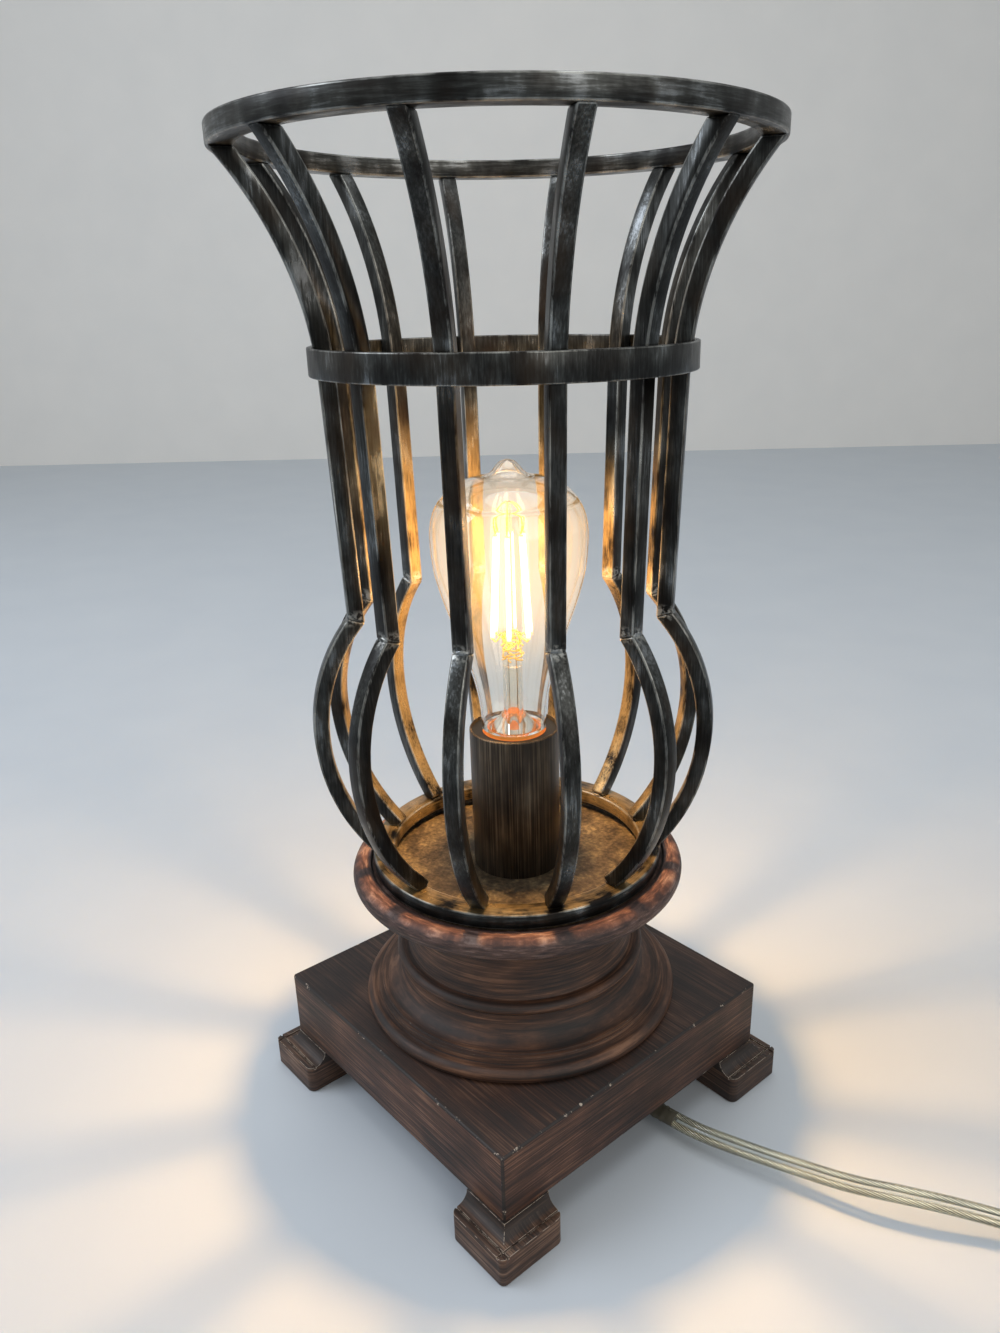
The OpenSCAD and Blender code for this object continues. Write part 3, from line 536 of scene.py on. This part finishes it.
# The reliefs' size where they start, their taper and their grooves' depth, as shares of the outline.
RELIEF_SIZE, RELIEF_TAPER, RELIEF_GROOVE = 1.22, 0.27, 0.07


def smooth_route(points, parts):
    """A smooth curve through the points, with parts stretches between each two."""
    route = []
    for i in range(len(points) - 1):
        a, b = points[max(i - 1, 0)], points[i]
        c, d = points[i + 1], points[min(i + 2, len(points) - 1)]
        for t in (k / parts for k in range(parts)):
            bend, turn = 2 * a - 5 * b + 4 * c - d, 3 * b - a - 3 * c + d
            route.append(0.5 * (2 * b + (c - a) * t + bend * t * t + turn * t ** 3))
    return route + [points[-1]]


def coil_at(turned):
    """The coil's centreline at an angle in degrees: in on the table, up a layer half way, and out again."""
    full = LOOPS * 360
    inward = min(turned, full - turned)
    ease = min(max((turned - full / 2 + 90) / 180, 0), 1)
    radius = COIL_R - LAYER * inward / 360
    angle = COIL_TURN + radians(turned)
    rise = LIFT + LAYER * ease * ease * (3 - 2 * ease)
    return COIL_MID + Vector((radius * cos(angle), radius * sin(angle), rise))


def first_route():
    """The route from the strain relief through the coil to the switch, with each point's tilt and size."""
    run = smooth_route([RUN_FROM] + RUN_POINTS + [RUN_TO - AWAY * CORD_D], 4) + [RUN_TO]
    coil = [coil_at(k * 360 / LOOP_RINGS) for k in range(LOOPS * LOOP_RINGS + 1)]
    bend = [TAIL_MID + TAIL_BEND * (cos(t) * AWAY + sin(t) * ASIDE)
        + UP * (SWITCH_LIFT + 1.6 * MM * sin(2 * t)) for t in (radians(22.5 * k - 90) for k in range(5))]
    tail = [TAIL_FROM + AWAY * CORD_D, COIL_OUT + AWAY * 22 * MM - UP * 1 * MM] + bend
    tail = [TAIL_FROM] + smooth_route(tail + [SWITCH_FROM - ASIDE * CORD_D], 4) + [SWITCH_FROM]
    route = run + coil + tail
    # The flat side faces up and out where it is seen, and stands upright in the coil, to bend the easy way.
    tilts, sizes = [], []
    for i in range(len(route)):
        start = min(i / (len(run) * 0.3), 1)
        share = min(max((i - len(run) * 0.82) / (len(run) * 0.18), 0), 1)
        back = min(max((i - len(run) - len(coil)) / 12, 0), 1)
        lie = LIE_START + (LIE - LIE_START) * start
        tilts.append(radians(lie + (90 - lie) * share * share * (3 - 2 * share) * (1 - back)))
        sizes.append(RUN_SIZE - (RUN_SIZE - 1) * share)
    return route, tilts, sizes


def lead_route():
    """The route from the switch to the plug, with each point's tilt and size."""
    bend = [LEAD_MID + LEAD_BEND * (cos(t) * AWAY + sin(t) * ASIDE)
        + UP * (LIFT + 3 * MM * cos(2 * t) ** 2) for t in (radians(22.5 * k) for k in range(5))]
    middle = smooth_route([LEAD_FROM + ASIDE * CORD_D] + bend + [PLUG_FROM + AWAY * CORD_D], 4)
    route = [LEAD_FROM] + middle + [PLUG_FROM]
    return route, [radians(LIE_START)] * len(route), [1] * len(route)


def swept_piece(name, route, tilts, outline, sizes=None):
    """Sweeps a closed outline in mm along a route, with a UV map of mm along it and the share of a turn."""
    form = bpy.data.curves.new(name + "_outline", "CURVE")
    ring = form.splines.new("POLY")
    ring.points.add(len(outline) - 1)
    for point, (x, y) in zip(ring.points, outline):
        point.co = (x * MM, y * MM, 0, 1)
    ring.use_cyclic_u = True
    shape = new_object(name + "_outline", form)
    line = bpy.data.curves.new(name + "_line", "CURVE")
    line.dimensions = "3D"
    line.twist_mode = "Z_UP"
    line.bevel_mode = "OBJECT"
    line.bevel_object = shape
    line.use_fill_caps = True
    spline = line.splines.new("POLY")
    spline.points.add(len(route) - 1)
    for point, place, tilt, size in zip(spline.points, route, tilts, sizes or [1] * len(route)):
        point.co = (*place, 1)
        point.tilt = tilt
        point.radius = size
    carrier = new_object(name + "_line", line)
    bpy.context.view_layer.update()
    mesh = bpy.data.meshes.new_from_object(carrier.evaluated_get(bpy.context.evaluated_depsgraph_get()))
    bm = bmesh.new()
    bm.from_mesh(mesh)
    bpy.data.meshes.remove(mesh)
    for obj in (shape, carrier):
        data = obj.data
        bpy.data.objects.remove(obj)
        bpy.data.curves.remove(data)
    bm.verts.ensure_lookup_table()
    along = [0.0]
    for here, there in zip(route, route[1:]):
        along.append(along[-1] + (there - here).length / MM)
    uv = bm.loops.layers.uv.get("UVMap") or bm.loops.layers.uv.new("UVMap")
    count = len(outline)
    for face in bm.faces:
        around = [loop.vert.index % count for loop in face.loops]
        closing = max(around) - min(around) > count / 2
        for loop, k in zip(face.loops, around):
            turn = (k + count if closing and k < count / 2 else k) / count
            loop[uv].uv = (along[min(loop.vert.index // count, len(route) - 1)], turn)
    bmesh.ops.remove_doubles(bm, verts=bm.verts, dist=0.001 * MM)
    bmesh.ops.recalc_face_normals(bm, faces=bm.faces)
    return new_piece(name, bm, 50)


def stretch_of(route, length, step):
    """The first stretch of a route, of the given length in mm, in even steps."""
    points, left, total = [route[0]], 0.0, 0.0
    for here, there in zip(route, route[1:]):
        span = (there - here).length / MM
        place = step - left
        while place <= span and total + place <= length:
            points.append(here.lerp(there, place / span))
            place += step
        left = span - (place - step)
        total += span
        if total > length:
            break
    return points


def oval_outline(half_width, half_height, count, middle=0.0):
    """An oval outline in mm, of count points."""
    turns = [tau * k / count for k in range(count)]
    return [(middle + half_width * cos(t), half_height * sin(t)) for t in turns]


def jacket_outline():
    """The flat cord's outline in mm: two round lobes side by side with a groove between them."""
    turns = [radians(-132 + 24 * k) for k in range(12)]
    right = [(LOBE_OFF + LOBE_R * cos(t), LOBE_R * sin(t)) for t in turns]
    return right + [(-x, -y) for x, y in right]


def strain_relief(name, route, length, tilt, material):
    """A tapered sleeve with grip rings round the cord's first stretch, where the cord leaves a housing."""
    points = stretch_of(route, length, 0.9)
    last = len(points) - 1
    sizes = [RELIEF_SIZE - RELIEF_TAPER * i / last for i in range(last + 1)]
    for i in range(3, last - 2):
        sizes[i] -= RELIEF_GROOVE if i % 4 in (2, 3) else 0
    sleeve = swept_piece(name, points, [tilt] * (last + 1), oval_outline(4.0, 2.5, 18), sizes)
    return put(sleeve, material, "bushing_plastic")


class LampLook(bpy.types.PropertyGroup):
    """Colours and light of the lamp."""

    steel_black: bpy.props.FloatVectorProperty(
        name="Steel, deepest", description="Colour in the steel's deepest marks",
        default=linear("#100f0e"), subtype="COLOR", size=4, min=0.0, max=1.0)
    steel_dark: bpy.props.FloatVectorProperty(
        name="Steel, dark", description="Main colour of the blackened steel",
        default=linear("#232423"), subtype="COLOR", size=4, min=0.0, max=1.0)
    steel_grey: bpy.props.FloatVectorProperty(
        name="Steel, grey", description="Colour of the lighter brush marks",
        default=linear("#3a3c3b"), subtype="COLOR", size=4, min=0.0, max=1.0)
    steel_silver: bpy.props.FloatVectorProperty(
        name="Steel, silver", description="Colour of the brightest brush marks",
        default=linear("#74787a"), subtype="COLOR", size=4, min=0.0, max=1.0)
    filament_power: bpy.props.FloatProperty(
        name="Filament", description="Brightness of the filaments", default=5.0, min=0.0, max=60.0)
    bulb_power: bpy.props.FloatProperty(
        name="Bulb", description="Light that the bulb gives", default=5.0, min=0.0, max=20.0, unit="POWER")


class LampSizes(bpy.types.PropertyGroup):
    """Finishing sizes of the lamp."""

    bar_ease: bpy.props.FloatProperty(
        name="Bar edge", description="Easing of the bars' edges",
        default=0.7 * MM, min=0.2 * MM, max=1.5 * MM, precision=5, unit="LENGTH")
    wood_ease: bpy.props.FloatProperty(
        name="Wood edge", description="Easing of the slab's edges",
        default=1.1 * MM, min=0.2 * MM, max=2.0 * MM, precision=5, unit="LENGTH")
    turning_ease: bpy.props.FloatProperty(
        name="Turned edge", description="Easing of the turning's edges",
        default=0.5 * MM, min=0.1 * MM, max=1.0 * MM, precision=5, unit="LENGTH")


def swung(first, second, angle):
    """Turns two directions at right angles, the first towards the second."""
    return (first * cos(angle) + second * sin(angle), second * cos(angle) - first * sin(angle))


class LAMP_OT_camera(bpy.types.Operator):
    """Places the camera at the photograph's angle."""

    bl_idname = "lamp.camera"
    bl_label = "Camera"

    def execute(self, context):
        azimuth, pitch, yaw, roll = (radians(a) for a in (AZIMUTH, PITCH, YAW, ROLL))
        eye = Vector((sin(azimuth) * EYE_OUT, -cos(azimuth) * EYE_OUT, EYE_UP))
        ahead = Vector((-sin(azimuth), cos(azimuth), 0))
        right = Vector((cos(azimuth), sin(azimuth), 0))
        ahead, right = swung(ahead, right, yaw)
        ahead, up = swung(ahead, UP, -pitch)
        right, up = swung(right, up, roll)
        data = bpy.data.cameras.new("Camera")
        data.sensor_fit = "AUTO"
        data.sensor_width = SENSOR
        data.lens = FOCAL * SENSOR / FRAME_H
        data.shift_x = (FRAME_W / 2 - MIDDLE_X) / FRAME_H
        data.shift_y = (MIDDLE_Y - FRAME_H / 2) / FRAME_H
        data.clip_start = 0.01
        camera = new_object("Camera", data)
        camera.matrix_world = Matrix.Translation(eye) @ Matrix((right, up, -ahead)).transposed().to_4x4()
        context.scene.camera = camera
        return {"FINISHED"}


class LAMP_OT_cord(bpy.types.Operator):
    """Builds the flat clear cord with its stranded cores, from the lamp by coil and switch to the plug."""

    bl_idname = "lamp.cord"
    bl_label = "Cord"

    def execute(self, context):
        jacket = clear_jacket()
        silver = stranded_wire("Tinned copper strands", "#1d1e1c", "#8d8f86")
        gold = stranded_wire("Bare copper strands", "#2a241a", "#958a6e")
        rubber = moulded_plastic("Smoked PVC relief", "#4d493d", 0.4)
        brown = moulded_plastic("Brown urea switch", "#2c231c", 0.4)
        pale = moulded_plastic("Clear gold PVC plug", "#c3b994", 0.28)
        first, lead = first_route(), lead_route()
        low, high = radians(LIE_START), radians(LIE)
        relief = strain_relief("lamp_relief", first[0], 20.8, low, rubber)
        relief_in = strain_relief("switch_relief_in", first[0][::-1], 22, -high, brown)
        relief_out = strain_relief("switch_relief_out", lead[0], 21, low, brown)
        relief_plug = strain_relief("plug_relief", lead[0][::-1], 24, -low, pale)
        switch = [put_eased(node, name, 0.7 * MM, brown, "switch_plastic")
            for node, name in (("switch_base", "switch_lower"), ("switch_cover", "switch_upper"))]
        plug = put_eased("plug_body", "plug_block", 0.9 * MM, pale, "plug_plastic", 3)
        for name, (route, tilts, sizes), replaced, far_end, lay, held in (
            ("cord", first, ("cord_run", "cord_coil", "cord_tail"), "fitting", "coiled",
                [relief, relief_in, *switch, "switch_wheel"]),
            ("lead", lead, ("cord_lead",), "plug", "loose", [relief_out, relief_plug, plug, "plug_blades"]),
        ):
            whole = swept_piece(name + "_jacket", route, tilts, jacket_outline(), sizes)
            put(whole, jacket, "cord_plastic", *replaced)
            for side, middle, wire in (("left", -CORE_OFF, silver), ("right", CORE_OFF, gold)):
                outline = oval_outline(CORE_R, CORE_R, 10, middle)
                core = swept_piece("%s_core_%s" % (name, side), route, tilts, outline, sizes)
                put(core, wire, "core_wire")
        return {"FINISHED"}


class LAMP_OT_base(bpy.types.Operator):
    """Finishes the slab, its feet and the turned pedestal and cap."""

    bl_idname = "lamp.base"
    bl_label = "Base"

    def execute(self, context):
        sizes = context.scene.lamp_sizes
        slab = brushed_wood("Dry-brushed slab", slab_place, ("#130a06", "#2e1a10", "#4c2e1e", "#7f5c45"),
            chips=0.95, chip_from=0.6, top_darkening=0.55)
        feet = brushed_wood("Dry-brushed feet", slab_place, ("#150c07", "#322014", "#523828", "#8c705a"),
            chips=0.95, chip_from=0.46, top_darkening=0.2, cove_shade_z=14.2)
        turning = brushed_wood("Dry-brushed turning", lambda t: round_place(t, 55, 30, 0.9),
            ("#130a06", "#2e1b10", "#4a2f1e", "#7a563e"), chips=0.25, chip_from=0.62)
        cap = brushed_wood("Dry-brushed cap", lambda t: round_place(t, 72, 9, 0.9),
            ("#160d0b", "#33221d", "#4e3830", "#7d6a62"), chips=0.2, chip_from=0.62)
        put_eased("plinth_slab", "slab_wood", sizes.wood_ease, slab, "dark_wood", 3)
        for i in range(1, 5):
            put_eased("foot_%d" % i, "foot_wood_%d" % i, 0.7 * MM, feet, "dark_wood", angle=30)
        put_eased("pedestal", "pedestal_wood", sizes.turning_ease, turning, "turned_wood", angle=30)
        put_eased("cap_disc", "cap_wood", sizes.turning_ease, cap, "red_wood", angle=30)
        return {"FINISHED"}


class LAMP_OT_cage(bpy.types.Operator):
    """Finishes the rings, the band, the bars, their welds and the pan."""

    bl_idname = "lamp.cage"
    bl_label = "Cage"

    def execute(self, context):
        look, ease = context.scene.lamp_look, context.scene.lamp_sizes.bar_ease
        # Brush marks 0.8 to 1 mm wide and 8 to 13 mm long, along each bar, ring or band.
        bar = blackened_steel("Dry-brushed bar", lambda t: straight_place(t, 0.8, 0.8, 12), look)
        ring = blackened_steel("Dry-brushed ring", lambda t: round_place(t, 95, 13, 1.0), look, 0.02, 0.15)
        band = blackened_steel("Dry-brushed band", lambda t: straight_place(t, 0.9, 0.9, 8), look)
        # The bottom ring's level faces get painted lamplight too.
        low = blackened_steel("Ring with painted lamplight", lambda t: round_place(t, 60, 12, 1.0), look, 0.0, 0.3, 0.7)
        weld = blackened_steel("Ground weld", lambda t: straight_place(t, 2), look, 0.12, 0.1)
        for name in FLARES + BELLIES:
            put_eased(name, name.replace("rib", "bar"), ease, bar, "cage_steel")
        put_eased("top_ring", "top_hoop", ease, ring, "cage_steel")
        put_eased("bottom_ring", "bottom_hoop", ease, low, "cage_steel")
        put_eased("mid_band", "mid_hoop", 0.5 * MM, band, "cage_steel")
        put_eased("cage_pan", "pan_sheet", 0.3 * MM, gilt_pan(), "pan_metal")
        put(self.weld_beads(), weld, "cage_steel")
        return {"FINISHED"}

    def weld_beads(self):
        """Small uneven weld beads across each bar: at its kink, under the top ring and on the bottom ring."""
        bm = bmesh.new()
        for i in range(BAR_COUNT):
            turn = Matrix.Rotation(radians(CAGE_TURN + 360 / BAR_COUNT * i), 4, "Z")
            for radius, height, size in WELDS:
                shift = 0.35 * sin(5.1 * i + height)
                place = Matrix.Translation(Vector((radius, shift, height)) * MM)
                shape = Matrix.LocRotScale(None, None, Vector(size) * MM)
                made = bmesh.ops.create_icosphere(bm, subdivisions=3, radius=1, matrix=turn @ place @ shape)
                for vert in made["verts"]:
                    x, y, z = vert.co
                    ripple = sin(x * 4100 + i) * sin(y * 3700) * sin(z * 3300 + height)
                    vert.co += (vert.co - turn @ place.translation).normalized() * 0.28 * MM * ripple
        return new_piece("weld_beads", bm, 60)


class LAMP_OT_socket(bpy.types.Operator):
    """Finishes the socket's sleeve, and gives the small CAD nodes that stay their materials."""

    bl_idname = "lamp.socket"
    bl_label = "Socket"

    def execute(self, context):
        put_eased("socket_shell", "socket_sleeve", 0.25 * MM, brushed_bronze(), "socket_bronze")
        # The shell's and the cap's last numbers are a painted glow, standing for lamplight caught inside them.
        for node, material in (
            ("socket_core", moulded_plastic("Phenolic core", "#080808", 0.5)),
            ("screw_shell", plain_metal("Copper-washed shell", "#dc7f3c", 0.4, 0.3)),
            ("centre_contact", plain_metal("Contact brass", "#c9a24b", 0.3)),
            ("terminal_screws", plain_metal("Terminal brass", "#b9a06a", 0.35)),
            ("threaded_pipe", plain_metal("Zinc-plated pipe", "#a89f86", 0.4)),
            ("pipe_nuts", plain_metal("Zinc-plated nuts", "#97927f", 0.4)),
            ("pipe_washer", plain_metal("Zinc-plated washer", "#9c9788", 0.4)),
            ("bulb_cap", plain_metal("Brass cap", "#d4823f", 0.35, 0.45)),
            ("bulb_tip", moulded_plastic("Black cap glass", "#17171a", 0.15)),
            ("cord_bushing", moulded_plastic("Black nylon bushing", "#1d1d1e", 0.5)),
            ("inner_cord", moulded_plastic("Clear core insulation", "#b8b08e", 0.35)),
            ("plug_blades", plain_metal("Plug brass", "#c9b06a", 0.3)),
            ("switch_wheel", moulded_plastic("Brown thumb wheel", "#3d3027", 0.5)),
        ):
            nodes[node].material_slots[0].material = material
        return {"FINISHED"}


class LAMP_OT_bulb(bpy.types.Operator):
    """Blows the bulb's glass and finishes its stem, filaments and wires."""

    bl_idname = "lamp.bulb"
    bl_label = "Bulb"

    def execute(self, context):
        glass = clear_glass("Clear blown bulb glass", "#fffdf8", 0.2)
        put(self.glass_piece(), glass, "bulb_glass", "bulb_glass")
        nodes["glass_stem"].material_slots[0].material = clear_glass("Clear stem glass", "#fdfaf2", 0.04)
        nodes["filaments"].material_slots[0].material = lit_filament(context.scene.lamp_look)
        put(self.crown_wires(), lit_wire(), "wire", "filament_wires")
        return {"FINISHED"}

    def crown_wires(self):
        """Bowed wires from the filaments' tops, slack ones from their feet and knots, all to the glass stem."""
        low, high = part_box("filaments")
        top, foot = high.z / MM, low.z / MM
        thin = oval_outline(0.33, 0.33, 8)
        # Radius, and height over the filaments' tops or feet, in mm.
        bow = ((5.9, 0.3), (6.6, 3.5), (6.3, 7), (4.8, 10.2), (2.6, 12.2), (1.2, 12.8))
        slack = ((8.5, -0.4), (7.2, -1.6), (5.2, 0.6), (3.4, -1.8), (2.2, 1.4), (1.5, 2.4))
        knot = ((3.9, -1.5), (1.6, -3), (4.6, -4.6), (1.8, -6.4), (4.8, -8), (2.6, -9.4), (4.1, -10.6))
        parts = []
        for i in range(FILAMENTS):
            turn = Matrix.Rotation(radians(FILAMENT_TURN + 360 / FILAMENTS * i), 3, "Z")
            for k, (line, level) in enumerate(((bow, top), (slack, foot), (knot, foot))):
                points = [turn @ Vector((r, 0.9 * k * sin(2.3 * j + i), level + z)) * MM
                    for j, (r, z) in enumerate(line)]
                route = smooth_route(points, 4)
                parts.append(swept_piece("crown_wire_%d_%d" % (i, k), route, [0.0] * len(route), thin))
        return joined_piece("crown_wires", parts)

    def glass_piece(self):
        """The glass as one spun shell: neck, pear-shaped side, dome and pip, with an inner wall."""
        low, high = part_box("bulb_glass")
        foot, tip = low.z / MM + NECK_H, high.z / MM
        widest = tip - DOME_H
        # Radius and height in mm, up from the neck and then over the dome to the pip.
        side = [(r, foot + z) for r, z in (
            (13.9, 0), (14.3, 9), (16.2, 20), (19.7, 32), (24.2, 45), (28.4, 58), (31.1, 70))]
        side += [(r, widest + z) for r, z in (
            (32, -1), (31.4, 6.6), (29.2, 12.8), (25, 18), (19.6, 21.4), (13.6, 23.4), (9.2, 24.3), (6.4, 26),
            (4.6, 28.4))]
        side += [(2.4, tip - 0.5), (0, tip)]
        outer = [(p.x, max(min(p.y, tip), foot)) for p in smooth_route([Vector(point) for point in side], 5)]
        inner = [(max(r - WALL, 0), z - WALL * (1 if z > widest + 15 else 0.2)) for r, z in outer]
        inner[-1] = (0, tip - 1.6)
        bm = bmesh.new()
        starts = []
        for radius, line in ((NECK_R, outer), (NECK_R - WALL, inner)):
            profile = [(radius, foot - NECK_H), (radius, foot)] + line
            points = [bm.verts.new((max(r, 0) * MM, 0, z * MM)) for r, z in profile]
            starts.append(points[0])
            for pair in zip(points, points[1:]):
                bm.edges.new(pair)
        bm.edges.new(starts)
        bmesh.ops.spin(bm, geom=list(bm.verts) + list(bm.edges), cent=(0, 0, 0), axis=(0, 0, 1),
            angle=tau, steps=96, use_merge=True)
        bmesh.ops.remove_doubles(bm, verts=bm.verts, dist=0.004 * MM)
        bmesh.ops.recalc_face_normals(bm, faces=bm.faces)
        return new_piece("bulb_blown_glass", bm, 60)


class LAMP_OT_stage(bpy.types.Operator):
    """Sets up the pale floor, the backdrop, the soft lamps and the world."""

    bl_idname = "lamp.stage"
    bl_label = "Stage"

    def execute(self, context):
        upright = Matrix.Rotation(radians(AZIMUTH), 3, "Z") @ Matrix.Rotation(radians(90), 3, "X")
        self.flat_sheet("Floor", (0, 0.6, -0.4 * MM), None, 6.0, "#bcc4cb", "#c5ccd1", 0.38)
        self.flat_sheet("Backdrop", (-1.4, 1.6, 0), upright, 8.0, "#e4e3de", "#eceae4", 0.6)
        # Place and width in metres, power in watts.
        self.soft_lamp("Window", (-0.9, -1.2, 1.5), 1.4, 21, "#eef4ff")
        self.soft_lamp("Fill", (1.7, -0.2, 1.1), 1.6, 11, "#fff8f0")
        self.soft_lamp("Top", (0.0, 0.2, 1.9), 1.6, 12, "#ffffff")
        self.bulb_light(context)
        self.studio_world(context)
        context.scene.view_settings.view_transform = "Standard"
        return {"FINISHED"}

    def flat_sheet(self, name, place, turn, size, colour, paler, rough):
        """A flat square of the stage in matt paint, faintly clouded 90 mm across."""
        bm = bmesh.new()
        bmesh.ops.create_grid(bm, x_segments=2, y_segments=2, size=size / 2)
        bmesh.ops.transform(bm, matrix=Matrix.LocRotScale(Vector(place), turn, None), verts=bm.verts)
        piece = new_piece(name, bm)
        material, tree = new_material("Matt pale " + name.lower())
        cloud = add(tree, "TexNoise", {"Vector": straight_place(tree, 90), "Scale": 1.0, "Detail": 2.0})
        tone = add(tree, "Mix", {0: cloud, 6: linear(colour), 7: linear(paler)}, data_type="RGBA")
        shader = add(tree, "BsdfPrincipled", {"Base Color": tone, "Roughness": rough})
        piece.data.materials.append(finish_material(material, shader))

    def soft_lamp(self, name, place, width, power, colour):
        """A round soft lamp that shines on the middle of the object."""
        data = bpy.data.lights.new(name, "AREA")
        data.shape = "DISK"
        data.size = width
        data.energy = power
        data.color = linear(colour)[:3]
        lamp = new_object(name, data)
        lamp.location = place
        lamp.rotation_euler = (Vector(place) - 0.2 * UP).to_track_quat("Z", "Y").to_euler()

    def bulb_light(self, context):
        """The light of the filaments, from the middle of the bulb and itself unseen."""
        glow = bpy.data.lights.new("Bulb glow", "POINT")
        glow.energy = context.scene.lamp_look.bulb_power
        glow.color = linear("#ffcf92")[:3]
        glow.shadow_soft_size = 0.012
        lamp = new_object("Bulb glow", glow)
        lamp.location = (0, 0, GLOW_Z * MM)
        lamp.visible_camera = False
        lamp.visible_glossy = False
        lamp.visible_transmission = False

    def studio_world(self, context):
        """Soft even light from all round, and a pale background for the camera and for gloss."""
        world = bpy.data.worlds.new("Studio")
        context.scene.world = world
        world.use_nodes = True
        tree = world.node_tree
        tree.nodes.clear()
        path = add(tree, "LightPath").outputs
        seen = add(tree, "Math", {0: path["Is Camera Ray"], 1: path["Is Glossy Ray"]}, operation="MAXIMUM")
        soft = add(tree, "Background", {"Color": linear("#e9eef5"), "Strength": 0.38})
        plain = add(tree, "Background", {"Color": linear("#d4d6d6"), "Strength": 1.0})
        mixed = add(tree, "MixShader", {0: seen, 1: soft, 2: plain})
        add(tree, "OutputWorld", {"Surface": mixed})


class LAMP_PT_panel(bpy.types.Panel):
    """Lists the lamp's building steps and its sizes and colours."""

    bl_idname = "LAMP_PT_panel"
    bl_label = "Cage Table Lamp"
    bl_space_type = "VIEW_3D"
    bl_region_type = "UI"
    bl_category = "Lamp"

    def draw(self, context):
        layout = self.layout
        for step in STEPS:
            layout.operator(step)
        for group in (context.scene.lamp_look, context.scene.lamp_sizes):
            for name in group.__annotations__:
                layout.prop(group, name)


STEPS = ("lamp.camera", "lamp.cord", "lamp.base", "lamp.cage", "lamp.socket", "lamp.bulb", "lamp.stage")
CLASSES = (
    LampLook, LampSizes, LAMP_OT_camera, LAMP_OT_cord, LAMP_OT_base, LAMP_OT_cage, LAMP_OT_socket,
    LAMP_OT_bulb, LAMP_OT_stage, LAMP_PT_panel)


def register():
    for cls in CLASSES:
        bpy.utils.register_class(cls)
    bpy.types.Scene.lamp_look = bpy.props.PointerProperty(type=LampLook)
    bpy.types.Scene.lamp_sizes = bpy.props.PointerProperty(type=LampSizes)


def unregister():
    del bpy.types.Scene.lamp_sizes
    del bpy.types.Scene.lamp_look
    for cls in reversed(CLASSES):
        bpy.utils.unregister_class(cls)


def main():
    """Builds the lamp step by step."""
    register()
    for step in STEPS:
        group, name = step.split(".")
        getattr(getattr(bpy.ops, group), name)()


if __name__ == "__main__":
    main()
